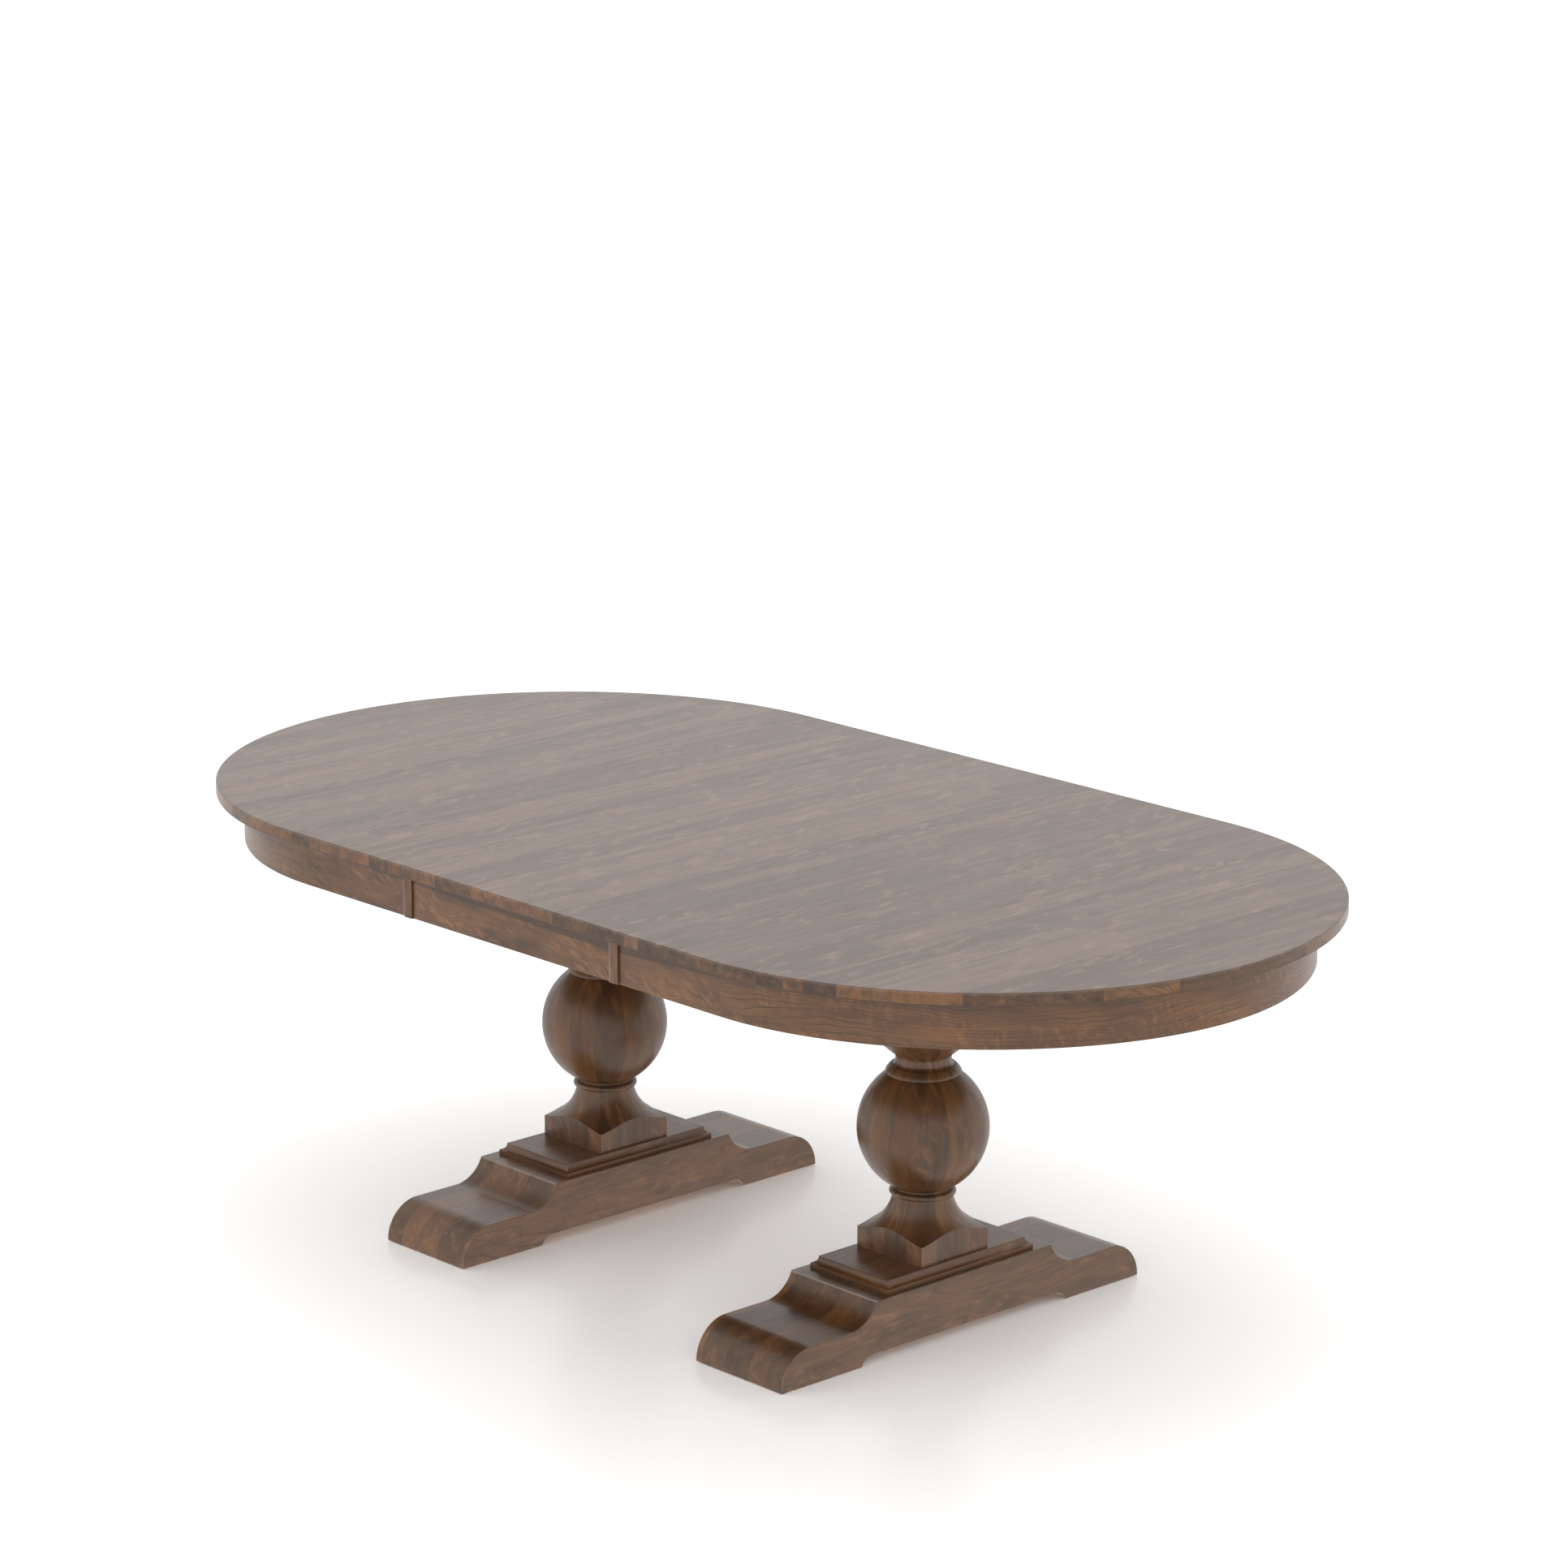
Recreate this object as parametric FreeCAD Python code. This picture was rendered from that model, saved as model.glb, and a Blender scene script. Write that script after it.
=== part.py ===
import FreeCAD, Part
import math
import os

# Oval extension table on two turned pedestals, shown with its leaf in.
# Millimetres, +Z up, the origin on the floor below the middle of the top.
# +X runs along the table to the right end, +Y across it to the back.
# The left half is the right half turned by half a turn about Z.

V = FreeCAD.Vector
os.makedirs("parts", exist_ok=True)

# Overall
table_height = 764.0
top_width = 1189.0
top_straight = 1030.0
leaf_width = 513.4
pedestal_spacing = 796.0

# Clearances and the overrun of every cut
running_gap = 0.3
seam_gap = 0.2
pin_fit = 0.05
overrun = 5.0

# Top panels
top_thickness = 21.0
top_edge_round = 3.0
under_edge_round = 1.0

# Apron, its seam strips and its glue blocks
apron_height = 81.8
apron_thickness = 20.0
apron_inset = 41.5
shoulder_dip = 6.4
bend_steps = 24
strip_width = 20.7
strip_setback = 2.1
strip_proud = 4.0
strip_round = 1.6
block_side = 25.0
block_length = 60.0
block_gap = 0.1
end_block_angles = (-60.0, -30.0, 0.0, 30.0, 60.0)
leaf_block_shares = (-0.6, 0.0, 0.6)
half_block_shares = (0.45, 1.0)

# Foot and its floor glides
foot_length = 820.6
foot_width = 204.5
foot_height = 103.5
foot_block = 400.0
shelf_height = 64.5
cove_run = 58.0
pad_length = 175.6
arch_height = 15.5
arch_corner_run = 23.5
foot_edge_round = 1.2
glide_height = 2.0
glide_radius = 12.0
glide_shank_radius = 1.8
glide_shank = 15.0
glide_inset_x = 26.0
glide_inset_y = 60.0

# Moulded plate between foot and column
plate_length = 333.8
plate_width = 183.8
plate_height = 19.3
plate_fillet = 7.2
plate_cove = 9.9

# Column: plinth and neck are counted from the plate's top, the rest is stacked on them
column_square = 152.4
square_edge_round = 1.2
plinth_corner_height = 34.2
flare_radius = 69.3
neck_radius = 50.7
neck_height = 89.2
neck_straight = 4.5
bead_reach = 5.0
bead_radius = 50.5
groove_radius = 46.5
groove_height = 3.6
ball_radius = 109.3
ball_half_height = 112.0
ball_top_radius = 61.0
step_height = 2.0
collar_radius = 62.8
collar_thickness = 1.6
dome_width = 8.3
dome_height = 10.4
dome_bulge = 0.9
upper_neck_radius = 46.3
collar_cove_height = 5.5
collar_cove_depth = 1.8
upper_neck_height = 8.2
capital_bend_radius = 8.0
capital_bend_angle = 53.0
capital_end_angle = 27.0

# Tie rod through each pedestal, with a nut and washer at both ends
rod_radius = 6.0
rod_hole_radius = 7.0
rod_stub = 3.0
nut_flats = 19.0
nut_height = 10.0
washer_radius = 18.0
washer_thickness = 2.5
rod_pocket_radius = 20.0
foot_pocket_depth = 22.0
cleat_pocket_depth = 16.0

# Dowels in the pedestal's joints
dowel_radius = 5.0
dowel_length = 60.0
dowel_offset = 50.0
dowel_depth = 20.0
dowel_end_gap = 1.0

# Cleats and battens that carry the fixed rails
cleat_length = 680.0
cleat_width = 150.0
cleat_thickness = 30.0
cleat_end_chamfer = 18.0
batten_width = 60.0
batten_offset = 140.0

# Fixed rails and the runners that slide beside them
rail_offset = 250.0
rail_length = 1200.0
rail_thickness = 28.0
rail_height = 45.0
runner_thickness = 26.0
runner_inner_end = -60.0
runner_reach_share = 0.627
tongue_height = 6.0
tongue_reach = 7.0
tongue_drop = 14.0
tongue_start = 40.0
tongue_length = 400.0
half_travel = 35.0
stop_pin_radius = 3.0
end_rail_thickness = 22.0
end_rail_gap = 0.3

# Equaliser pinion and racks
gear_module = 2.0
pinion_teeth = 18
pressure_angle = 20.0
gear_backlash = 0.15
root_share = 1.25
flank_steps = 5
gear_width = 8.0
gear_lift = 12.3
pinion_pin_radius = 3.0
pinion_side_gap = 1.2
rack_height = 10.0
rack_back = 3.0
rack_spare_teeth = 3

# Seam pins and the slots in the leaf that drop over them
seam_pin_radius = 5.0
seam_pin_reach = 12.0
seam_pin_seat = 25.0
seam_pin_shares = (0.84, 0.1, -0.57)

# Screws
screw_radius = 2.5
screw_head_radius = 4.5
screw_head = 3.0
rail_screw_length = 50.0
rail_screw_spacing = 90.0
runner_screw_length = 40.0
runner_screw_bite = 15.0
runner_screw_shares = (0.12, 0.4, 0.68, 0.94)
small_screw_radius = 1.6
small_screw_head_radius = 3.0
small_screw_length = 14.0

# Seam locks
lock_shares = (0.774, -0.639)
lock_pivot_setback = 14.0
lock_stud_setback = 18.0
lock_plate_thickness = 1.5
lock_plate_width = 29.0
lock_plate_length = 44.0
lock_plate_setback = 1.0
lock_screw_inset = 5.0
catch_plate_side = 28.0
pivot_radius = 4.0
pivot_head_radius = 7.0
pivot_head = 1.5
stud_radius = 3.5
stud_overhang = 1.0
lever_thickness = 3.0
lever_hub_radius = 10.0
lever_wall = 6.0
lever_handle_length = 45.0
lever_handle_width = 12.0
lever_tab_drop = 12.0
lever_mouth_angle = 14.0
lever_arm_from_angle = 18.0
lever_arm_to_angle = 46.0
unlocked_angle = 90.0

# Levels and lines that follow from the sizes above
end_radius = top_width / 2
straight_x = top_straight / 2
seam_x = leaf_width / 2
leaf_edge_x = seam_x - seam_gap
seam_pin_places = [share * end_radius for share in seam_pin_shares]
lock_places = [share * end_radius for share in lock_shares]
under_top = table_height - top_thickness
under_leaf = under_top + running_gap
apron_outer = end_radius - apron_inset
apron_inner = apron_outer - apron_thickness
apron_bottom = under_top - apron_height
pedestal_x = pedestal_spacing / 2
foot_top = glide_height + foot_height
plate_top = foot_top + plate_height
runner_outer_end = straight_x + runner_reach_share * apron_inner
rail_top = under_top - running_gap
rail_bottom = rail_top - rail_height
cleat_bottom = rail_bottom - cleat_thickness
runner_bottom = rail_bottom + running_gap
runner_face = rail_thickness / 2 + running_gap
runner_back = runner_face + runner_thickness
lock_reach = lock_pivot_setback + lock_stud_setback
slot_half_width = stud_radius + running_gap
lever_top = under_top - lock_plate_thickness - running_gap
lever_bottom = lever_top - lever_thickness
pitch_radius = gear_module * pinion_teeth / 2
tooth_pitch = math.pi * gear_module
gear_middle = rail_bottom + gear_lift
rack_start_teeth = -math.ceil(half_travel / tooth_pitch) - rack_spare_teeth
rack_end_teeth = math.ceil(seam_x / tooth_pitch) + rack_spare_teeth


def box(x0, x1, y0, y1, z0, z1):
    corner = V(min(x0, x1), min(y0, y1), min(z0, z1))
    return Part.makeBox(abs(x1 - x0), abs(y1 - y0), abs(z1 - z0), corner)


def upright(x, y, z0, z1, radius):
    return Part.makeCylinder(radius, z1 - z0, V(x, y, z0))


def crosswise(x0, x1, y, z, radius):
    return Part.makeCylinder(radius, x1 - x0, V(x0, y, z), V(1, 0, 0))


def half_turn(shape):
    turned = shape.copy()
    turned.rotate(V(0, 0, 0), V(0, 0, 1), 180)
    return turned


def at(shape, x, y=0.0):
    moved = shape.copy()
    moved.translate(V(x, y, 0))
    return moved


def line(start, end):
    return Part.makeLine(start, end)


def arc(start, middle, end):
    return Part.Arc(start, middle, end).toShape()


def polygon(points):
    return Part.Face(Part.makePolygon(points + [points[0]]))


def face(edges):
    return Part.Face(Part.Wire(Part.__sortEdges__(edges)))


def save(node, *shapes):
    shape = shapes[0] if len(shapes) == 1 else Part.makeCompound(list(shapes))
    shape.exportStep("parts/" + node + ".step")


# Top panels and leaf

def round_outline(panel, level, radius):
    """Round the panel's outer edges at one level, and leave its seam edges sharp."""
    edges = [e for e in panel.Edges
             if on_outline(e) and all(abs(v.Z - level) < pin_fit for v in e.Vertexes)]
    return panel.makeFillet(radius, edges)


def on_outline(edge):
    """True for an edge of the table's oval outline, false for one along a seam."""
    middle = edge.valueAt((edge.FirstParameter + edge.LastParameter) / 2)
    beyond = max(0.0, abs(middle.x) - straight_x)
    return math.hypot(beyond, middle.y) > end_radius - pin_fit


def half_panel():
    corner_back = V(seam_x, end_radius, under_top)
    corner_front = V(seam_x, -end_radius, under_top)
    bend_back = V(straight_x, end_radius, under_top)
    bend_front = V(straight_x, -end_radius, under_top)
    tip = V(straight_x + end_radius, 0, under_top)
    outline = [line(corner_front, bend_front), arc(bend_front, tip, bend_back),
               line(bend_back, corner_back), line(corner_back, corner_front)]
    panel = face(outline).extrude(V(0, 0, top_thickness))
    panel = round_outline(panel, table_height, top_edge_round)
    panel = round_outline(panel, under_top, under_edge_round)
    middle = table_height - top_thickness / 2
    for y in seam_pin_places:
        own = crosswise(seam_x - overrun, seam_x + seam_pin_seat, y, middle, seam_pin_radius + pin_fit)
        mate = crosswise(seam_x - overrun, seam_x + seam_pin_reach + running_gap, -y, middle,
                         seam_pin_radius + running_gap)
        panel = panel.cut(own).cut(mate)
    for x, y in runner_screw_places():
        panel = panel.cut(upright(x, y, under_top - overrun, under_top + runner_screw_bite,
                                  screw_radius + pin_fit))
    for x, y in half_lock_screw_places():
        panel = panel.cut(small_screw_hole(x, y, under_top))
    return panel


def seam_pins():
    middle = table_height - top_thickness / 2
    return [crosswise(seam_x - seam_pin_reach, seam_x + seam_pin_seat - dowel_end_gap, y, middle,
                      seam_pin_radius) for y in seam_pin_places]


def leaf_panel():
    panel = box(-leaf_edge_x, leaf_edge_x, -end_radius, end_radius, under_leaf, table_height)
    panel = round_outline(panel, table_height, top_edge_round)
    panel = round_outline(panel, under_leaf, under_edge_round)
    middle = table_height - top_thickness / 2
    radius = seam_pin_radius + running_gap
    for y in seam_pin_places:
        crown = crosswise(seam_x - seam_pin_reach - running_gap, seam_x, y, middle, radius)
        way = box(seam_x - seam_pin_reach - running_gap, seam_x, y - radius, y + radius,
                  under_top - overrun, middle)
        slot = crown.fuse(way)
        panel = panel.cut(slot).cut(half_turn(slot))
    for x, y in leaf_lock_screw_places():
        panel = panel.cut(small_screw_hole(x, y, under_leaf))
    return panel


# Apron

def apron_board(x0, x1, side, top):
    return box(x0, x1, side * apron_inner, side * apron_outer, apron_bottom, top)


def bend_reach(angle, inset):
    """How far the bend is from its centre: a half circle that is flatter at its shoulders."""
    return apron_outer - inset - shoulder_dip * math.sin(2 * angle) ** 2


def bent_block(bottom, inset):
    """A block inside the bend, from one level up to the panel, with the bend drawn on all round."""
    points = []
    for step in range(2 * bend_steps):
        angle = math.pi * step / bend_steps
        reach = bend_reach(angle, inset)
        points.append(V(straight_x + reach * math.cos(angle), reach * math.sin(angle), bottom))
    curve = Part.BSplineCurve()
    curve.interpolate(Points=points, PeriodicFlag=True)
    return face([curve.toShape()]).extrude(V(0, 0, under_top - bottom))


def apron_end():
    """The bent apron of one end, which butts against the straight boards."""
    far = straight_x + end_radius
    outer_half = box(straight_x, far, -end_radius, end_radius, apron_bottom, under_top)
    inside = bent_block(apron_bottom, apron_thickness)
    return bent_block(apron_bottom, 0).cut(inside).common(outer_half)


def seam_strip(x0, side, top):
    strip = box(x0, x0 + strip_width, side * apron_outer, side * (apron_outer + strip_proud),
                apron_bottom, top)
    reach = apron_outer + strip_proud - pin_fit
    outer = [e for e in strip.Edges if all(abs(v.Y) > reach for v in e.Vertexes)
             and abs(e.Vertexes[0].Z - e.Vertexes[-1].Z) > strip_width]
    return strip.makeFillet(strip_round, outer)


def glue_block(x, side, top):
    """A square block in the corner of a straight apron board and the panel."""
    return box(x - block_length / 2, x + block_length / 2,
               side * (apron_inner - block_side), side * apron_inner, top - block_side, top)


def end_glue_blocks():
    """Blocks round the inside of the curved end, their outer corners just clear of the curve."""
    half_angle = math.asin(block_length / 2 / apron_inner)
    blocks = []
    for angle in end_block_angles:
        corner = min(bend_reach(math.radians(angle) + side * half_angle, apron_thickness + block_gap)
                     for side in (-1, 1))
        reach = math.sqrt(corner ** 2 - (block_length / 2) ** 2)
        block = box(reach - block_side, reach, -block_length / 2, block_length / 2,
                    under_top - block_side, under_top)
        block.rotate(V(0, 0, 0), V(0, 0, 1), angle)
        blocks.append(at(block, straight_x))
    return blocks


def half_glue_blocks():
    blocks = end_glue_blocks()
    span = straight_x - seam_x
    for side in (-1, 1):
        for share in half_block_shares:
            x = seam_x + share * span
            blocks.append(glue_block(min(x, straight_x - block_length / 2), side, under_top))
    return blocks


def leaf_glue_blocks():
    return [glue_block(share * leaf_edge_x, side, under_leaf)
            for side in (-1, 1) for share in leaf_block_shares]


# Pedestal

def point_on(centre, radius_y, radius_z, degrees):
    turn = math.radians(degrees)
    return V(0, centre[0] + radius_y * math.cos(turn), centre[1] + radius_z * math.sin(turn))


def foot_profile(side):
    """One side's outline, from the middle of the top round the toe to the middle of the arch."""
    half = foot_length / 2
    floor = glide_height
    shelf = floor + shelf_height
    drop = foot_height - shelf_height
    cove_radius = (cove_run ** 2 + drop ** 2) / (2 * drop)
    cove_centre = (foot_block / 2 + cove_run, shelf + cove_radius)
    cove_turn = math.degrees(math.asin(cove_run / cove_radius))
    toe_centre = (half - shelf_height, floor)
    arch_radius = (arch_corner_run ** 2 + arch_height ** 2) / (2 * arch_height)
    arch_inner = half - pad_length - arch_corner_run
    arch_centre = (arch_inner, floor + arch_height - arch_radius)
    arch_turn = math.degrees(math.asin(arch_corner_run / arch_radius))

    def mirrored(point):
        return V(0, side * point.y, point.z)

    top_middle = V(0, 0, foot_top)
    block_edge = V(0, foot_block / 2, foot_top)
    cove_foot = V(0, cove_centre[0], shelf)
    toe_start = V(0, toe_centre[0], shelf)
    toe_end = V(0, half, floor)
    pad_edge = V(0, half - pad_length, floor)
    arch_edge = V(0, arch_inner, floor + arch_height)
    arch_middle = V(0, 0, floor + arch_height)
    cove_bend = point_on(cove_centre, cove_radius, cove_radius, 270 - cove_turn / 2)
    toe_bend = point_on(toe_centre, shelf_height, shelf_height, 45)
    arch_bend = point_on(arch_centre, arch_radius, arch_radius, 90 - arch_turn / 2)
    return [line(mirrored(top_middle), mirrored(block_edge)),
            arc(mirrored(block_edge), mirrored(cove_bend), mirrored(cove_foot)),
            line(mirrored(cove_foot), mirrored(toe_start)),
            arc(mirrored(toe_start), mirrored(toe_bend), mirrored(toe_end)),
            line(mirrored(toe_end), mirrored(pad_edge)),
            arc(mirrored(pad_edge), mirrored(arch_bend), mirrored(arch_edge)),
            line(mirrored(arch_edge), mirrored(arch_middle))]


def foot():
    body = face(foot_profile(1) + foot_profile(-1)).extrude(V(foot_width, 0, 0))
    body.translate(V(-foot_width / 2, 0, 0))
    above = glide_height + pin_fit
    rims = [e for e in body.Edges if abs(e.Vertexes[0].X - e.Vertexes[-1].X) < pin_fit
            and max(v.Z for v in e.Vertexes) > above + arch_height]
    body = body.makeFillet(foot_edge_round, rims)
    pocket_top = glide_height + arch_height + foot_pocket_depth
    body = body.cut(upright(0, 0, -overrun, pocket_top, rod_pocket_radius))
    body = body.cut(upright(0, 0, pocket_top - overrun, foot_top + overrun, rod_hole_radius))
    for y in (-dowel_offset, dowel_offset):
        body = body.cut(upright(0, y, foot_top - dowel_depth, foot_top + overrun,
                                dowel_radius + pin_fit))
    for x, y in glide_places():
        body = body.cut(upright(x, y, -overrun, glide_height + glide_shank + pin_fit,
                                glide_shank_radius + pin_fit))
    return body


def glide_places():
    x = foot_width / 2 - glide_inset_x
    y = foot_length / 2 - glide_inset_y
    return [(-x, -y), (-x, y), (x, -y), (x, y)]


def floor_glides():
    glides = []
    for x, y in glide_places():
        disc = upright(x, y, 0, glide_height, glide_radius)
        shank = upright(x, y, glide_height, glide_height + glide_shank, glide_shank_radius)
        glides.append(disc.fuse(shank))
    return glides


def moulding(half_width, length):
    """A bar along X with the plate's edge moulding on both sides; the bar's middle is the origin."""
    low = foot_top
    step = foot_top + plate_fillet
    inner = half_width - plate_cove
    rise = plate_height - plate_fillet
    bend = math.sqrt(0.5)
    left_bend = V(0, -half_width + plate_cove * bend, plate_top - rise * bend)
    right_bend = V(0, half_width - plate_cove * bend, plate_top - rise * bend)
    outline = [line(V(0, -half_width, low), V(0, half_width, low)),
               line(V(0, half_width, low), V(0, half_width, step)),
               arc(V(0, half_width, step), right_bend, V(0, inner, plate_top)),
               line(V(0, inner, plate_top), V(0, -inner, plate_top)),
               arc(V(0, -inner, plate_top), left_bend, V(0, -half_width, step)),
               line(V(0, -half_width, step), V(0, -half_width, low))]
    bar = face(outline).extrude(V(length, 0, 0))
    return at(bar, -length / 2)


def base_plate():
    lengthwise = moulding(plate_length / 2, plate_width)
    crossing = moulding(plate_width / 2, plate_length)
    crossing.rotate(V(0, 0, 0), V(0, 0, 1), 90)
    plate = lengthwise.common(crossing)
    plate = plate.cut(upright(0, 0, foot_top - overrun, plate_top + overrun, rod_hole_radius))
    for y in (-dowel_offset, dowel_offset):
        plate = plate.cut(upright(0, y, foot_top - overrun, plate_top + overrun,
                                  dowel_radius + pin_fit))
    return plate


def arc_with_radius(start, end, radius):
    """An arc of the turned profile, its centre on the outer side of the chord."""
    chord = end.sub(start)
    middle = start.add(end).multiply(0.5)
    outward = V(abs(chord.z), 0, abs(chord.x)).normalize()
    rise = math.sqrt(radius ** 2 - (chord.Length / 2) ** 2)
    bend = middle.add(V(outward).multiply(rise - radius))
    return arc(start, bend, end)


def turned(edges, start, end):
    """The solid that a profile from start up to end makes when it is turned about Z."""
    foot_centre = V(0, 0, start.z)
    head_centre = V(0, 0, end.z)
    closing = [line(end, head_centre), line(head_centre, foot_centre), line(foot_centre, start)]
    return face(edges + closing).revolve(V(0, 0, 0), V(0, 0, 1), 360)


def square_post(z0, z1):
    half = column_square / 2
    post = box(-half, half, -half, half, z0, z1)
    corners = [e for e in post.Edges if abs(e.Vertexes[0].Z - e.Vertexes[-1].Z) > square_edge_round]
    return post.makeFillet(square_edge_round, corners)


def plinth(neck):
    """The square foot of the column, its corners drawn in to the round neck."""
    start = V(column_square / math.sqrt(2), 0, plate_top)
    corner = V(start.x, 0, plate_top + plinth_corner_height)
    edges = [line(start, corner), arc_with_radius(corner, neck, flare_radius)]
    return turned(edges, start, neck).common(square_post(plate_top, neck.z))


def ball_turning(neck):
    """Bead, ball and collar on the lower neck, with the end of the upper neck above them."""
    groove_turn = math.asin(groove_radius / ball_radius)
    shoulder_turn = math.asin(ball_top_radius / ball_radius)
    neck_end = V(neck.x, 0, neck.z + neck_straight)
    bead_low = V(bead_radius, 0, neck_end.z)
    bead_out = V(bead_radius + bead_reach, 0, neck_end.z + bead_reach)
    bead_high = V(bead_radius, 0, neck_end.z + 2 * bead_reach)
    groove_low = V(groove_radius, 0, bead_high.z)
    groove_high = V(groove_radius, 0, bead_high.z + groove_height)
    centre = groove_high.z + ball_half_height * math.cos(groove_turn)
    shoulder = V(ball_top_radius, 0, centre + ball_half_height * math.cos(shoulder_turn))
    step = V(ball_top_radius, 0, shoulder.z + step_height)
    collar_low = V(collar_radius, 0, step.z)
    collar_high = V(collar_radius, 0, step.z + collar_thickness)
    dome_top = V(collar_radius - dome_width, 0, collar_high.z + dome_height)
    cove_top = V(upper_neck_radius, 0, dome_top.z + collar_cove_height)
    oval = Part.Ellipse(V(0, 0, centre + ball_half_height), V(ball_radius, 0, centre), V(0, 0, centre))
    belly = Part.ArcOfEllipse(oval, shoulder_turn, math.pi - groove_turn).toShape()
    upper_neck = V(upper_neck_radius, 0, cove_top.z + upper_neck_height)
    edges = [line(neck, neck_end), line(neck_end, bead_low), arc(bead_low, bead_out, bead_high),
             line(bead_high, groove_low), line(groove_low, groove_high), belly,
             line(shoulder, step), line(step, collar_low), line(collar_low, collar_high),
             bowed(collar_high, dome_top, -dome_bulge), bowed(dome_top, cove_top, collar_cove_depth),
             line(cove_top, upper_neck)]
    return turned(edges, neck, upper_neck), upper_neck


def capital(upper_neck):
    """The square head of the column, flaring out of the upper neck and turning upright."""
    bend = math.radians(capital_bend_angle)
    half_bend = bend / 2
    turn = bend - math.radians(capital_end_angle)
    bent = V(upper_neck.x + capital_bend_radius * (1 - math.cos(bend)), 0,
             upper_neck.z + capital_bend_radius * math.sin(bend))
    bend_middle = V(upper_neck.x + capital_bend_radius * (1 - math.cos(half_bend)), 0,
                    upper_neck.z + capital_bend_radius * math.sin(half_bend))
    reach = column_square / math.sqrt(2)
    corner = V(reach, 0, bent.z + (reach - bent.x) / math.tan(bend - turn / 2))
    flare = bowed(bent, corner, -corner.sub(bent).Length / 2 * math.tan(turn / 4))
    top = V(corner.x, 0, cleat_bottom)
    edges = [arc(upper_neck, bend_middle, bent), flare, line(corner, top)]
    return turned(edges, upper_neck, top).common(square_post(upper_neck.z, cleat_bottom))


def bowed(start, end, sag):
    """An arc of a turned profile that stands off its chord, to the left as it runs, by sag."""
    chord = end.sub(start)
    left = V(-chord.z, 0, chord.x).normalize()
    return arc(start, start.add(end).multiply(0.5).add(left.multiply(sag)), end)


def column():
    neck = V(neck_radius, 0, plate_top + neck_height)
    ball, upper_neck = ball_turning(neck)
    body = plinth(neck).fuse([ball, capital(upper_neck)]).removeSplitter()
    body = body.cut(upright(0, 0, plate_top - overrun, cleat_bottom + overrun, rod_hole_radius))
    lower = dowel_length - dowel_depth - plate_height
    upper = dowel_length - dowel_depth
    for y in (-dowel_offset, dowel_offset):
        body = body.cut(upright(0, y, plate_top - overrun, plate_top + lower, dowel_radius + pin_fit))
        body = body.cut(upright(0, y, cleat_bottom - upper, cleat_bottom + overrun,
                                dowel_radius + pin_fit))
    return body


def pedestal_dowels():
    """Two dowels up through the plate and two into the cleat, with a little air at their ends."""
    lower = foot_top - dowel_depth
    upper = cleat_bottom - dowel_length + dowel_depth
    return [upright(0, y, low + dowel_end_gap, low + dowel_length - dowel_end_gap, dowel_radius)
            for y in (-dowel_offset, dowel_offset) for low in (lower, upper)]


def cleat():
    half = cleat_length / 2
    outline = [V(-cleat_width / 2, -half, rail_bottom), V(-cleat_width / 2, half, rail_bottom),
               V(-cleat_width / 2, half, rail_bottom - cleat_thickness + cleat_end_chamfer),
               V(-cleat_width / 2, half - cleat_end_chamfer, cleat_bottom),
               V(-cleat_width / 2, -half + cleat_end_chamfer, cleat_bottom),
               V(-cleat_width / 2, -half, rail_bottom - cleat_thickness + cleat_end_chamfer)]
    body = polygon(outline).extrude(V(cleat_width, 0, 0))
    pocket = rail_bottom - cleat_pocket_depth
    body = body.cut(upright(0, 0, pocket, rail_bottom + overrun, rod_pocket_radius))
    body = body.cut(upright(0, 0, cleat_bottom - overrun, pocket + overrun, rod_hole_radius))
    for y in (-dowel_offset, dowel_offset):
        body = body.cut(upright(0, y, cleat_bottom - overrun, cleat_bottom + dowel_depth,
                                dowel_radius + pin_fit))
    return cut_rail_screw_holes(body, cleat_screw_places())


# Tie rods

def rod_levels():
    """Where the lower and the upper washer bear on the wood."""
    return glide_height + arch_height + foot_pocket_depth, rail_bottom - cleat_pocket_depth


def tie_rod():
    low, high = rod_levels()
    reach = washer_thickness + nut_height + rod_stub
    return upright(0, 0, low - reach, high + reach, rod_radius)


def rod_washers():
    low, high = rod_levels()
    rings = []
    for level in (low - washer_thickness, high):
        ring = upright(0, 0, level, level + washer_thickness, washer_radius)
        rings.append(ring.cut(upright(0, 0, level - overrun, level + overrun, rod_radius + pin_fit)))
    return rings


def rod_nuts():
    low, high = rod_levels()
    corner = nut_flats / math.sqrt(3)
    nuts = []
    for level in (low - washer_thickness - nut_height, high + washer_thickness):
        points = [V(corner * math.cos(math.radians(60 * i)), corner * math.sin(math.radians(60 * i)), level)
                  for i in range(6)]
        nut = polygon(points).extrude(V(0, 0, nut_height))
        nuts.append(nut.cut(upright(0, 0, level - overrun, level + nut_height + overrun,
                                    rod_radius + pin_fit)))
    return nuts


# Screws, points up

def screw(x, y, head_level, length, radius, head_radius, head_height):
    shank = upright(x, y, head_level, head_level + length, radius)
    head = Part.makeCone(head_radius, radius, head_height, V(x, y, head_level))
    return shank.fuse(head)


def wood_screw(x, y, head_level, length):
    return screw(x, y, head_level, length, screw_radius, screw_head_radius, screw_head)


def screw_hole(x, y, head_level, tip_level):
    shank = upright(x, y, head_level - overrun, tip_level, screw_radius + pin_fit)
    sink = Part.makeCone(screw_head_radius + pin_fit, screw_radius + pin_fit, screw_head,
                         V(x, y, head_level))
    return shank.fuse(sink)


def small_screw(x, y, head_level):
    return screw(x, y, head_level, small_screw_length, small_screw_radius, small_screw_head_radius,
                 lock_plate_thickness)


def small_screw_hole(x, y, level):
    tip = level - lock_plate_thickness + small_screw_length + pin_fit
    return upright(x, y, level - overrun, tip, small_screw_radius + pin_fit)


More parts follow.
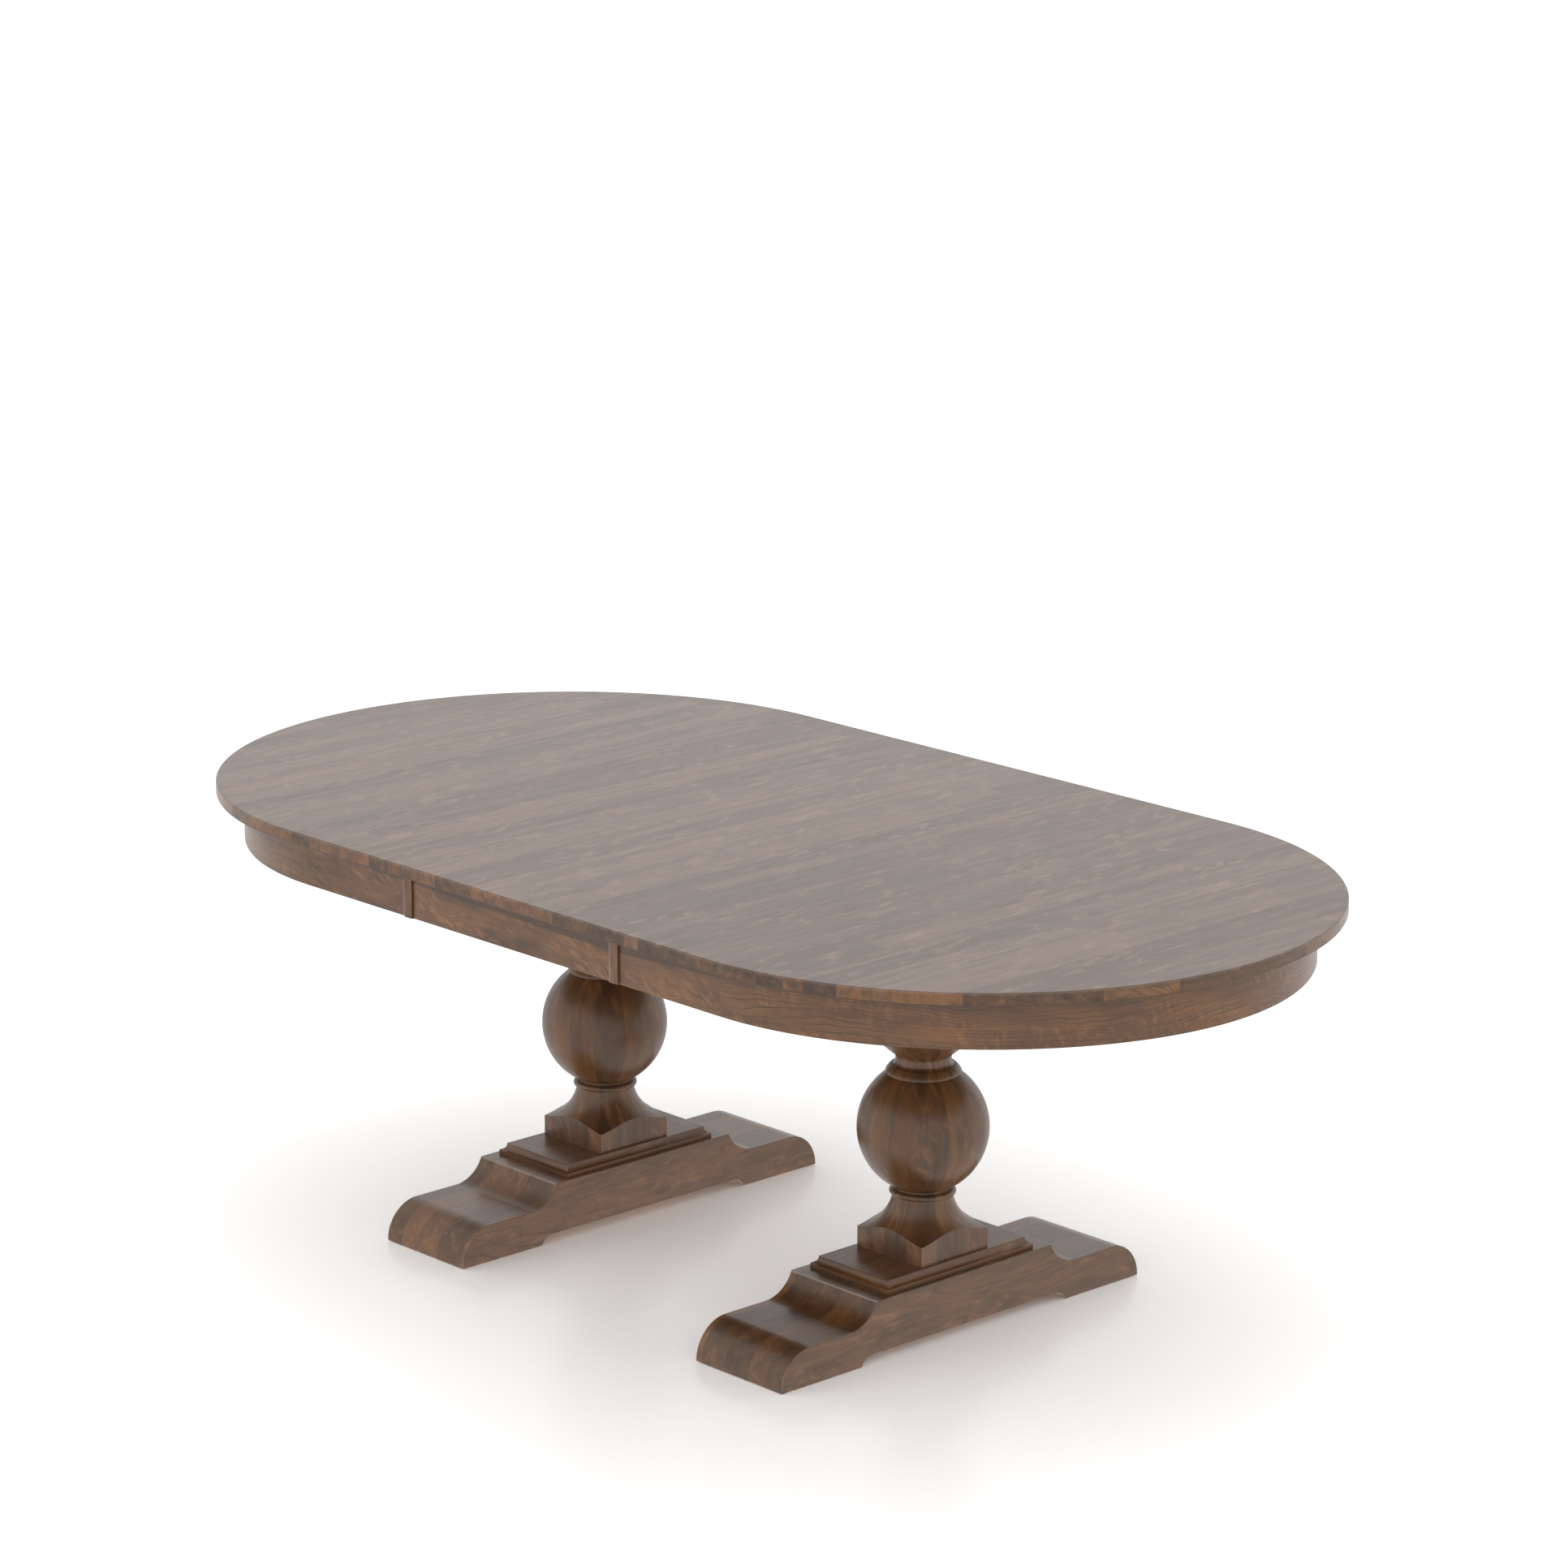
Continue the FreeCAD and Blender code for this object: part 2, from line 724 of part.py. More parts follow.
def cleat_screw_places():
    return [(x, side * rail_offset) for x in (-rail_screw_spacing / 2, rail_screw_spacing / 2)
            for side in (-1, 1)]


def batten_screw_places():
    return [(0, side * rail_offset) for side in (-1, 1)]


def cut_rail_screw_holes(body, places):
    for x, y in places:
        body = body.cut(screw_hole(x, y, cleat_bottom, rail_bottom + overrun))
    return body


def rail_screw_places():
    places = []
    for side in (-1, 1):
        places += [(x + side * pedestal_x, y) for x, y in cleat_screw_places()]
        places += [(x + side * batten_offset, y) for x, y in batten_screw_places()]
    return places


def runner_screw_places():
    span = runner_outer_end - seam_x
    places = []
    for side in (-1, 1):
        y = side * rail_offset + runner_face + runner_thickness / 2
        places += [(seam_x + share * span, y) for share in runner_screw_shares]
    return places


# Fixed rails, battens and stop pins

def batten():
    half = rail_offset + rail_thickness / 2
    body = box(-batten_width / 2, batten_width / 2, -half, half, cleat_bottom, rail_bottom)
    return cut_rail_screw_holes(body, batten_screw_places())


def tongue_middle():
    return rail_top - tongue_drop


def stop_pin_x():
    """Where a tongue's outer end meets its stop pin with the table opened past the leaf."""
    return tongue_start + tongue_length + half_travel + stop_pin_radius + running_gap


def stop_pin_places():
    lane = rail_thickness / 2 - tongue_reach / 2
    return [(stop_pin_x(), lane), (-stop_pin_x(), -lane)]


def fixed_rail(side):
    """One fixed rail, grooved on both faces for the runners' tongues."""
    half = rail_length / 2
    y = side * rail_offset
    body = box(-half, half, y - rail_thickness / 2, y + rail_thickness / 2, rail_bottom, rail_top)
    groove = tongue_height / 2 + running_gap
    middle = tongue_middle()
    floor = rail_thickness / 2 - tongue_reach
    for face_side in (-1, 1):
        body = body.cut(box(-half - overrun, half + overrun, y + face_side * floor,
                            y + face_side * (rail_thickness / 2 + overrun),
                            middle - groove, middle + groove))
    window = pitch_radius + gear_module + pinion_side_gap
    reach = rail_thickness / 2 + overrun
    body = body.cut(box(-window, window, y - reach, y + reach,
                        gear_middle - gear_width / 2 - running_gap,
                        gear_middle + gear_width / 2 + running_gap))
    body = body.cut(upright(0, y, rail_bottom - overrun, rail_top + overrun,
                            pinion_pin_radius + pin_fit))
    for x, lane in stop_pin_places():
        body = body.cut(upright(x, y + lane, middle - tongue_drop, rail_top + overrun,
                                stop_pin_radius + pin_fit))
    screw_tip = cleat_bottom + rail_screw_length + pin_fit
    for x, place_y in rail_screw_places():
        if place_y * side > 0:
            body = body.cut(upright(x, place_y, rail_bottom - overrun, screw_tip,
                                    screw_radius + pin_fit))
    return body


def slide_stop_pins():
    low = tongue_middle() - tongue_drop + dowel_end_gap
    return [upright(x, side * rail_offset + lane, low, rail_top, stop_pin_radius)
            for side in (-1, 1) for x, lane in stop_pin_places()]


# Runners of the right half; both stand behind their rail, at its +Y face

def runner(side):
    rail_y = side * rail_offset
    face_y = rail_y + runner_face
    body = box(runner_inner_end, runner_outer_end, face_y, rail_y + runner_back,
               runner_bottom, under_top)
    middle = tongue_middle()
    tongue_tip = rail_y + rail_thickness / 2 - tongue_reach + running_gap
    body = body.fuse(box(tongue_start, tongue_start + tongue_length, tongue_tip, face_y,
                         middle - tongue_height / 2, middle + tongue_height / 2))
    back = rail_y + rack_back_line()
    body = body.cut(box(rack_start() - pin_fit, rack_end() + pin_fit, face_y - overrun, back,
                        gear_middle - rack_height / 2, gear_middle + rack_height / 2))
    for x, y in runner_screw_places():
        if y * side > 0:
            low = under_top + runner_screw_bite - runner_screw_length
            body = body.cut(upright(x, y, runner_bottom - overrun, low,
                                    screw_head_radius + running_gap))
            body = body.cut(screw_hole(x, y, low, under_top + overrun))
    return body.removeSplitter()


def end_rail():
    """The cross rail that the runners butt against, its ends cut to the curved apron."""
    rail = box(runner_outer_end, runner_outer_end + end_rail_thickness, -end_radius, end_radius,
               runner_bottom, under_top)
    return rail.common(bent_block(runner_bottom, apron_thickness + end_rail_gap))


# Equaliser

def rack_back_line():
    return pitch_radius + root_share * gear_module + rack_back


def rack_start():
    return rack_start_teeth * tooth_pitch


def rack_end():
    return rack_end_teeth * tooth_pitch


def rack(side):
    """A rack of the right half, its teeth towards the pinion, with a space at x = 0 in mesh."""
    rail_y = side * rail_offset
    tip = rail_y + pitch_radius - gear_module
    root = rail_y + pitch_radius + root_share * gear_module
    back = rail_y + rack_back_line()
    low = gear_middle - rack_height / 2
    slope = math.tan(math.radians(pressure_angle))
    half_tooth = tooth_pitch / 4 - gear_backlash / 2
    half_tip = half_tooth - gear_module * slope
    half_root = half_tooth + root_share * gear_module * slope
    points = [V(rack_start(), back, low), V(rack_start(), root, low)]
    for tooth in range(rack_start_teeth, rack_end_teeth):
        middle = (tooth + 0.5) * tooth_pitch
        points += [V(middle - half_root, root, low), V(middle - half_tip, tip, low),
                   V(middle + half_tip, tip, low), V(middle + half_root, root, low)]
    points += [V(rack_end(), root, low), V(rack_end(), back, low)]
    return polygon(points).extrude(V(0, 0, rack_height))


def pinion(side):
    """An involute pinion with one tooth on the +Y line at rest."""
    base = pitch_radius * math.cos(math.radians(pressure_angle))
    tip = pitch_radius + gear_module - gear_backlash
    root = pitch_radius - root_share * gear_module
    pressure = math.radians(pressure_angle)
    involute = math.tan(pressure) - pressure
    half_tooth = math.pi / (2 * pinion_teeth) - gear_backlash / 2 / pitch_radius
    low = gear_middle - gear_width / 2
    flank = [(root, half_tooth + involute)]
    for step in range(flank_steps + 1):
        radius = base + (tip - base) * step / flank_steps
        roll = math.acos(base / radius)
        flank.append((radius, half_tooth + involute - (math.tan(roll) - roll)))
    points = []
    for tooth in range(pinion_teeth):
        middle = math.pi / 2 - 2 * math.pi * tooth / pinion_teeth
        points += [V(r * math.cos(middle + a), r * math.sin(middle + a), low) for r, a in flank]
        points += [V(r * math.cos(middle - a), r * math.sin(middle - a), low)
                   for r, a in reversed(flank)]
    gear = polygon(points).extrude(V(0, 0, gear_width))
    gear = gear.cut(upright(0, 0, low - overrun, low + gear_width + overrun,
                            pinion_pin_radius + pin_fit))
    return at(gear, 0, side * rail_offset)


def pinion_pin(side):
    return upright(0, side * rail_offset, rail_bottom, rail_top, pinion_pin_radius)


# Seam locks

def lock_plate_corners(y):
    """The lock plate's screw places, at opposite corners, clear of the lever's hub."""
    x0 = seam_x + lock_plate_setback + lock_screw_inset
    x1 = seam_x + lock_plate_setback + lock_plate_width - lock_screw_inset
    reach = lock_plate_length / 2 - lock_screw_inset
    return [(x0, y - reach), (x1, y + reach)]


def catch_corners(x, y):
    reach = catch_plate_side / 2 - lock_screw_inset
    return [(x - reach, y - reach), (x + reach, y + reach)]


def half_catch_places():
    """Studs that take the other half's levers when the leaf is out and the table is closed."""
    return [(seam_x + lock_stud_setback, -y) for y in lock_places]


def leaf_catch_places():
    right = [(seam_x - lock_stud_setback, y) for y in lock_places]
    return right + [(-x, -y) for x, y in right]


def half_lock_screw_places():
    places = []
    for y in lock_places:
        places += lock_plate_corners(y)
    for x, y in half_catch_places():
        places += catch_corners(x, y)
    return places


def leaf_lock_screw_places():
    places = []
    for x, y in leaf_catch_places():
        places += catch_corners(x, y)
    return places


def screw_sink(x, y, level):
    """A countersunk hole through a lock's plate whose upper face is at level."""
    low = level - lock_plate_thickness
    sink = Part.makeCone(small_screw_head_radius + pin_fit, small_screw_radius + pin_fit,
                         lock_plate_thickness, V(x, y, low))
    return sink.fuse(upright(x, y, low - overrun, level + overrun, small_screw_radius + pin_fit))


def lock_plate(y):
    """A plate under the half's panel, with the riveted stud that the lever turns on."""
    x0 = seam_x + lock_plate_setback
    low = under_top - lock_plate_thickness
    plate = box(x0, x0 + lock_plate_width, y - lock_plate_length / 2, y + lock_plate_length / 2,
                low, under_top)
    x = seam_x + lock_pivot_setback
    head_top = lever_bottom - running_gap
    stud = upright(x, y, head_top, low, pivot_radius)
    head = upright(x, y, head_top - pivot_head, head_top, pivot_head_radius)
    plate = plate.fuse([stud, head])
    for place_x, place_y in lock_plate_corners(y):
        plate = plate.cut(screw_sink(place_x, place_y, under_top))
    return plate


def catch(x, y, level):
    low = level - lock_plate_thickness
    half = catch_plate_side / 2
    plate = box(x - half, x + half, y - half, y + half, low, level)
    plate = plate.fuse(upright(x, y, lever_bottom - stud_overhang, low, stud_radius))
    for place_x, place_y in catch_corners(x, y):
        plate = plate.cut(screw_sink(place_x, place_y, level))
    return plate


def sector(inner, outer, from_angle, to_angle):
    """A piece of a flat ring about the origin, as thick as the lever."""
    ring = Part.makeCylinder(outer, lever_thickness, V(0, 0, lever_bottom), V(0, 0, 1),
                             to_angle - from_angle)
    ring.rotate(V(0, 0, 0), V(0, 0, 1), from_angle)
    if inner > 0:
        ring = ring.cut(upright(0, 0, lever_bottom - overrun, lever_top + overrun, inner))
    return ring


def lever(y):
    """A hook that swings round the leaf's stud; locked it points to -X, here it stands unlocked."""
    inner = lock_reach - slot_half_width - lever_wall
    outer = lock_reach + slot_half_width + lever_wall
    hook = sector(inner, outer, -lever_mouth_angle, lever_arm_to_angle)
    arm = sector(0, outer, lever_arm_from_angle, lever_arm_to_angle)
    hub = upright(0, 0, lever_bottom, lever_top, lever_hub_radius)
    handle = box(-lever_handle_length, 0, -lever_handle_width / 2, lever_handle_width / 2,
                 lever_bottom, lever_top)
    tab = box(-lever_handle_length, -lever_handle_length + lever_thickness, -lever_handle_width / 2,
              lever_handle_width / 2, lever_bottom - lever_tab_drop, lever_bottom)
    body = hook.fuse([arm, hub, handle, tab]).removeSplitter()
    mouth = sector(lock_reach - slot_half_width, lock_reach + slot_half_width,
                   -2 * lever_mouth_angle, 0)
    slot_end = upright(lock_reach, 0, lever_bottom - overrun, lever_top + overrun, slot_half_width)
    pivot = upright(0, 0, lever_bottom - overrun, lever_top + overrun, pivot_radius + pin_fit)
    body = body.cut(mouth).cut(slot_end).cut(pivot)
    body.rotate(V(0, 0, 0), V(0, 0, 1), 180 + unlocked_angle)
    return at(body, seam_x + lock_pivot_setback, y)


# Write the fixed base

for name, side in (("left", -1), ("right", 1)):
    save("foot_" + name, at(foot(), side * pedestal_x))
    save("base_plate_" + name, at(base_plate(), side * pedestal_x))
    save("column_" + name, at(column(), side * pedestal_x))
    save("cleat_" + name, at(cleat(), side * pedestal_x))

pedestals = (-pedestal_x, pedestal_x)
save("tie_rods", *[at(tie_rod(), x) for x in pedestals])
save("rod_washers", *[at(ring, x) for x in pedestals for ring in rod_washers()])
save("rod_nuts", *[at(nut, x) for x in pedestals for nut in rod_nuts()])
save("pedestal_dowels", *[at(dowel, x) for x in pedestals for dowel in pedestal_dowels()])
save("floor_glides", *[at(glide, x) for x in pedestals for glide in floor_glides()])
save("cross_battens", *[at(batten(), x) for x in (-batten_offset, batten_offset)])
save("centre_rail_front", fixed_rail(-1))
save("centre_rail_back", fixed_rail(1))
save("rail_screws", *[wood_screw(x, y, cleat_bottom, rail_screw_length)
                      for x, y in rail_screw_places()])
save("slide_stop_pins", *slide_stop_pins())
save("pinion_pins", pinion_pin(-1), pinion_pin(1))
save("pinion_front", pinion(-1))
save("pinion_back", pinion(1))

# Write the two halves: the right one as it is modelled, the left one turned round

runner_screw_head = under_top + runner_screw_bite - runner_screw_length
half_screws = [wood_screw(x, y, runner_screw_head, runner_screw_length)
               for x, y in runner_screw_places()]
half_screws += [small_screw(x, y, under_top - lock_plate_thickness)
                for x, y in half_lock_screw_places()]
half_pieces = {
    "top": [half_panel()],
    "apron_end": [apron_end()],
    "apron_front": [apron_board(seam_x, straight_x, -1, under_top)],
    "apron_back": [apron_board(seam_x, straight_x, 1, under_top)],
    "seam_strip": [seam_strip(seam_x + strip_setback, -1, under_top)],
    "runner_front": [runner(-1)],
    "runner_back": [runner(1)],
    "racks": [rack(-1), rack(1)],
    "end_rail": [end_rail()],
    "glue_blocks": half_glue_blocks(),
    "seam_pins": seam_pins(),
    "screws": half_screws,
    "lock_plates": [lock_plate(y) for y in lock_places],
    "lock_catches": [catch(x, y, under_top) for x, y in half_catch_places()],
    "lock_lever_back": [lever(lock_places[0])],
    "lock_lever_front": [lever(lock_places[1])],
}
swapped = {"apron_front": "apron_back", "apron_back": "apron_front",
           "runner_front": "runner_back", "runner_back": "runner_front",
           "lock_lever_front": "lock_lever_back", "lock_lever_back": "lock_lever_front"}
for name, pieces in half_pieces.items():
    save(name + "_right", *pieces)
    save(swapped.get(name, name) + "_left", *[half_turn(piece) for piece in pieces])

# Write the leaf

strip = seam_strip(-leaf_edge_x + strip_setback, -1, under_leaf)
save("leaf_top", leaf_panel())
save("leaf_apron_front", apron_board(-leaf_edge_x, leaf_edge_x, -1, under_leaf))
save("leaf_apron_back", apron_board(-leaf_edge_x, leaf_edge_x, 1, under_leaf))
save("leaf_seam_strips", strip, half_turn(strip))
save("leaf_glue_blocks", *leaf_glue_blocks())
save("leaf_catches", *[catch(x, y, under_leaf) for x, y in leaf_catch_places()])
save("leaf_screws", *[small_screw(x, y, under_leaf - lock_plate_thickness)
                      for x, y in leaf_lock_screw_places()])
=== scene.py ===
"""Oval extension table in stained birch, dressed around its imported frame. Metres, +Z up."""
import bpy
import math
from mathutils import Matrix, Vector


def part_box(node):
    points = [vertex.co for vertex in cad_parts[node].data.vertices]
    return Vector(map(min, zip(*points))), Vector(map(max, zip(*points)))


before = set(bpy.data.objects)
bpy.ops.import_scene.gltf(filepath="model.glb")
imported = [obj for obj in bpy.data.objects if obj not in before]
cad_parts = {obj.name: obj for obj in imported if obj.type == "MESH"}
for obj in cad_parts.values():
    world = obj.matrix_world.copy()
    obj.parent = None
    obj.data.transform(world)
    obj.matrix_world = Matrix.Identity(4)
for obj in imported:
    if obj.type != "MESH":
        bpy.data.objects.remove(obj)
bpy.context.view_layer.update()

# Camera, as the photograph was taken
CAMERA_PLACE = Vector((6.12835, -5.62681, 2.97802))
CAMERA_TURN = math.radians(47.1484)
CAMERA_DIP = math.radians(14.4369)
CAMERA_LENS = 118.18
SENSOR = 36.0

# Light
SKY_STRENGTH = 1.0
FLOOR_SIZE = 60.0
FLOOR_SEEN = (1.4, 1.4, 1.4, 1.0)
FLOOR_GLOW = 0.95
FLOOR_GLOSS = 0.12
FLOOR_BLUR = 0.2

# Smooth shading
WELD_REACH = 0.00001
SHARP_EDGE = math.radians(32.0)

# Wood colours, as linear values
STAIN_DARK = (0.056, 0.026, 0.01, 1.0)
STAIN_COOL = (0.146, 0.065, 0.025, 1.0)
STAIN_WARM = (0.27, 0.112, 0.033, 1.0)
STAIN_LIGHT = (0.36, 0.16, 0.06, 1.0)
# A pale colour for arrises, standing for wear and for painted highlight
RUBBED_HIGHLIGHT = (0.56, 0.48, 0.43, 1.0)
TURNED_DARK = (0.045, 0.02, 0.007, 1.0)
TURNED_COOL = (0.104, 0.048, 0.018, 1.0)
TURNED_WARM = (0.205, 0.088, 0.026, 1.0)
TOP_DARK = (0.074, 0.03, 0.007, 1.0)
TOP_COOL = (0.106, 0.054, 0.03, 1.0)
TOP_WARM = (0.17, 0.092, 0.055, 1.0)
TOP_LIGHT = (0.28, 0.16, 0.1, 1.0)
FOOT_DARK = (0.052, 0.022, 0.007, 1.0)
FOOT_COOL = (0.132, 0.055, 0.016, 1.0)
FOOT_WARM = (0.215, 0.09, 0.026, 1.0)
# Paler copies of the foot stain for upright sides, as painted light
LIT_SIDE_DARK = (0.056, 0.025, 0.009, 1.0)
LIT_SIDE_COOL = (0.144, 0.067, 0.029, 1.0)
LIT_SIDE_WARM = (0.225, 0.102, 0.042, 1.0)
BARE_DARK = (0.4, 0.26, 0.15, 1.0)
BARE_COOL = (0.55, 0.4, 0.26, 1.0)
BARE_WARM = (0.62, 0.43, 0.25, 1.0)
BARE_LIGHT = (0.72, 0.55, 0.36, 1.0)
STAINED = (STAIN_DARK, STAIN_COOL, STAIN_WARM, STAIN_LIGHT)
TURNED_STAIN = (TURNED_DARK, TURNED_COOL, TURNED_WARM, STAIN_LIGHT)
FOOT_STAIN = (FOOT_DARK, FOOT_COOL, FOOT_WARM, STAIN_LIGHT)
TOP_STAIN = (TOP_DARK, TOP_COOL, TOP_WARM, TOP_LIGHT)
LIT_SIDE_STAIN = (LIT_SIDE_DARK, LIT_SIDE_COOL, LIT_SIDE_WARM, STAIN_LIGHT)
BARE = (BARE_DARK, BARE_COOL, BARE_WARM, BARE_LIGHT)
LACQUER_IOR = 1.6

# Sizes that patterns follow, read from the frame
TOP_LOW, TOP_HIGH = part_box("top_right")
END_LOW, END_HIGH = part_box("apron_end_right")
APRON_OUTER = END_HIGH.y
STRAIGHT_X = END_LOW.x
COLUMN_LOW, COLUMN_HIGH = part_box("column_right")
COLUMN_X = (COLUMN_LOW.x + COLUMN_HIGH.x) / 2
PLATE_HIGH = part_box("base_plate_right")[1]
FOOT_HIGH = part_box("foot_right")[1]
BALL_RADIUS = (COLUMN_HIGH.y - COLUMN_LOW.y) / 2
SEAM_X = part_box("leaf_top")[1].x
STRIP_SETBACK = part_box("seam_strip_right")[0].x - SEAM_X

# Sizes of the pattern on each piece, the painted shade line and the bands of painted highlight with wear
# among them
BALL_Z = 0.334
SQUARE_HALF = 0.0762
PLATE_BORDER = 0.03
DARK_BAND_Z = 0.711
BENT_SEAM_Z = END_LOW.z + 0.014
DARK_BAND_FALL = -0.02
DARK_BAND_RISE = 0.046
STRIP_RUB_AND_HIGHLIGHT_WIDTH = 0.0021
STRIP_FACE = 0.0023
SHELF_END = 0.2
RIM_ROUND = 0.0004
RIM_RUB_AND_HIGHLIGHT_WIDTH = 0.003
TOP_ARRIS = 0.0012
TOP_RUB_AND_HIGHLIGHT_WIDTH = 0.0035
TOP_SHADE_LINE = (0.0012, 0.0026)
STEP_RUB_AND_HIGHLIGHT_RANGE = (0.0008, 0.0016)
STEP_DEPTH = 0.003
FACE_SLACK = 0.0002
SOFT_LINE = 0.0004
ROUND_SHARE = 0.8
GRAIN_HEIGHT = 0.0001
GRAIN_BUMP = 0.12

# How far apart in the pattern lie the two ends, and a column's faces and its turning
END_APART = 7.3
FACE_APART = 3.0
COLUMN_APART = 2.0

# Width, length and joint of glued staves
TOP_STAVES = (0.042, 1.1, 0.0008)
FOOT_STAVES = (0.052, 40.0, 0.0008)
COLUMN_STAVES = (0.038, 30.0, 0.0002)
CLEAT_STAVES = (0.08, 30.0, 0.0004)
BLOCK_STAVES = (0.06, 0.2, 0.0004)

# How fine the marks of the wood are, in waves per metre along, across and through a board
DRIFT = (3.0, 14.0, 14.0)
RIPPLE = (26.0, 30.0, 30.0)
FIBRES = (22.0, 520.0, 520.0)
FAINTNESS = (9.0, 40.0, 40.0)
STREAKS = (2.4, 62.0, 62.0)
CLOUDS = (9.0, 26.0, 26.0)
CLUSTERS = (8.0, 20.0, 20.0)
DRIFT_REACH = 0.03
RIPPLE_REACH = 0.009
RING_WAVES = 300.0
RING_WAVES_ALONG = 7.0
LEAN_WAVES = 12.0
LEAN_SPREAD = 4.0
LEAN_BACK = 1.4
PATCH_WAVES = 42.0

# How much the marks, the painted shade and the painted highlight with wear change the stain
RED_SHIFT = 0.14
BLUE_SHIFT = -0.12
FIBRE_DARKNESS = 0.28
JOINT_DARKNESS = 0.7
RING_DARKNESS = 0.55
DARK_BAND_DARKNESS = 0.75
PATCH_DARKNESS = 0.45
STRIP_SIDE_SHADE = 0.7
TOP_WEAR_AND_HIGHLIGHT = 0.12
STRIP_WEAR_AND_HIGHLIGHT = 0.5
FOOT_WEAR_AND_HIGHLIGHT = 0.3


class Graph:
    """The nodes of one material or node group, written as sums."""

    def __init__(self, tree):
        self.tree = tree

    def add(self, kind, inputs=None, **settings):
        made = self.tree.nodes.new(kind)
        for name, value in settings.items():
            setattr(made, name, value)
        for name, value in (inputs or {}).items():
            self.feed(made.inputs[name], value)
        return made

    def feed(self, socket, value):
        if isinstance(value, bpy.types.NodeSocket):
            self.tree.links.new(value, socket)
        else:
            socket.default_value = value

    def math(self, operation, *values, clamp=False):
        made = self.add("ShaderNodeMath", operation=operation, use_clamp=clamp)
        for place, value in enumerate(values):
            self.feed(made.inputs[place], value)
        return made.outputs[0]

    def plus(self, first, second):
        return self.math("ADD", first, second)

    def minus(self, first, second):
        return self.math("SUBTRACT", first, second)

    def times(self, first, second):
        return self.math("MULTIPLY", first, second)

    def larger(self, first, second):
        return self.math("MAXIMUM", first, second)

    def flip(self, value):
        return self.math("SUBTRACT", 1.0, value)

    def size(self, value):
        return self.math("ABSOLUTE", value)

    def sign(self, value):
        return self.math("SIGN", value)

    def split(self, vector):
        made = self.add("ShaderNodeSeparateXYZ", {"Vector": vector})
        return made.outputs["X"], made.outputs["Y"], made.outputs["Z"]

    def join(self, x, y, z):
        return self.add("ShaderNodeCombineXYZ", {"X": x, "Y": y, "Z": z}).outputs["Vector"]

    def scaled(self, vector, scale):
        return self.add("ShaderNodeVectorMath", {0: vector, 1: scale}, operation="MULTIPLY").outputs[0]

    def moved(self, vector, offset):
        return self.add("ShaderNodeVectorMath", {0: vector, 1: offset}, operation="ADD").outputs[0]

    def noise(self, vector, scale, detail=2.0, roughness=0.5, distortion=0.0):
        made = self.add("ShaderNodeTexNoise", {"Vector": vector, "Scale": scale, "Detail": detail,
                                               "Roughness": roughness, "Distortion": distortion})
        return made.outputs["Fac"]

    def ramp(self, value, low, high, smooth=True):
        """0 below low, 1 above high."""
        made = self.add("ShaderNodeMapRange", {"Value": value, "From Min": low, "From Max": high})
        made.interpolation_type = "SMOOTHSTEP" if smooth else "LINEAR"
        return made.outputs["Result"]

    def blend(self, factor, first, second, kind="MIX"):
        made = self.add("ShaderNodeMix", data_type="RGBA", blend_type=kind)
        for socket, value in zip((made.inputs[0], made.inputs[6], made.inputs[7]), (factor, first, second)):
            self.feed(socket, value)
        return made.outputs[2]


def new_group(name, inputs, outputs):
    """An empty shader group with named sockets, and its graph, input and output nodes."""
    tree = bpy.data.node_groups.new(name, "ShaderNodeTree")
    for label, kind in inputs:
        tree.interface.new_socket(name=label, in_out="INPUT", socket_type=kind)
    for label, kind in outputs:
        tree.interface.new_socket(name=label, in_out="OUTPUT", socket_type=kind)
    graph = Graph(tree)
    return tree, graph, graph.add("NodeGroupInput").outputs, graph.add("NodeGroupOutput").inputs


VECTOR, VALUE, COLOUR = "NodeSocketVector", "NodeSocketFloat", "NodeSocketColor"


def stave_group():
    """Board space, x along the grain, is cut into glued staves with uneven widths."""
    tree, g, given, out = new_group(
        "glued_staves",
        [("Vector", VECTOR), ("Width", VALUE), ("Length", VALUE), ("Joint", VALUE)],
        [("Vector", VECTOR), ("Tone", VALUE), ("Tint", VALUE), ("Joint", VALUE)])
    x, y, z = g.split(given["Vector"])
    lane = g.math("DIVIDE", y, given["Width"])
    first_wave = g.times(g.math("SINE", g.times(lane, 2.3)), 0.1)
    second_wave = g.times(g.math("SINE", g.math("MULTIPLY_ADD", lane, 3.7, 1.1)), 0.05)
    lane = g.plus(lane, g.plus(first_wave, second_wave))
    row = g.math("FLOOR", lane)
    shift = g.add("ShaderNodeTexWhiteNoise", {"W": row}, noise_dimensions="1D").outputs["Value"]
    along = g.math("MULTIPLY_ADD", shift, 9.7, g.math("DIVIDE", x, given["Length"]))
    column = g.math("FLOOR", along)
    cell = g.add("ShaderNodeTexWhiteNoise", {"Vector": g.join(row, column, 0.0)}, noise_dimensions="3D")
    second = g.add("ShaderNodeTexWhiteNoise", {"Vector": g.join(column, row, 7.0)}, noise_dimensions="3D")
    offset = g.scaled(cell.outputs["Color"], (3.1, 4.7, 5.3))
    edge = g.math("PINGPONG", lane, 0.5)
    reach = g.math("DIVIDE", given["Joint"], given["Width"])
    end = g.times(g.math("PINGPONG", along, 0.5), given["Length"])
    side_joint = g.flip(g.ramp(edge, 0.0, reach))
    end_joint = g.flip(g.ramp(end, 0.0, given["Joint"]))
    g.feed(out["Vector"], g.moved(given["Vector"], offset))
    g.feed(out["Tone"], cell.outputs["Value"])
    g.feed(out["Tint"], second.outputs["Value"])
    g.feed(out["Joint"], g.larger(side_joint, end_joint))
    return tree


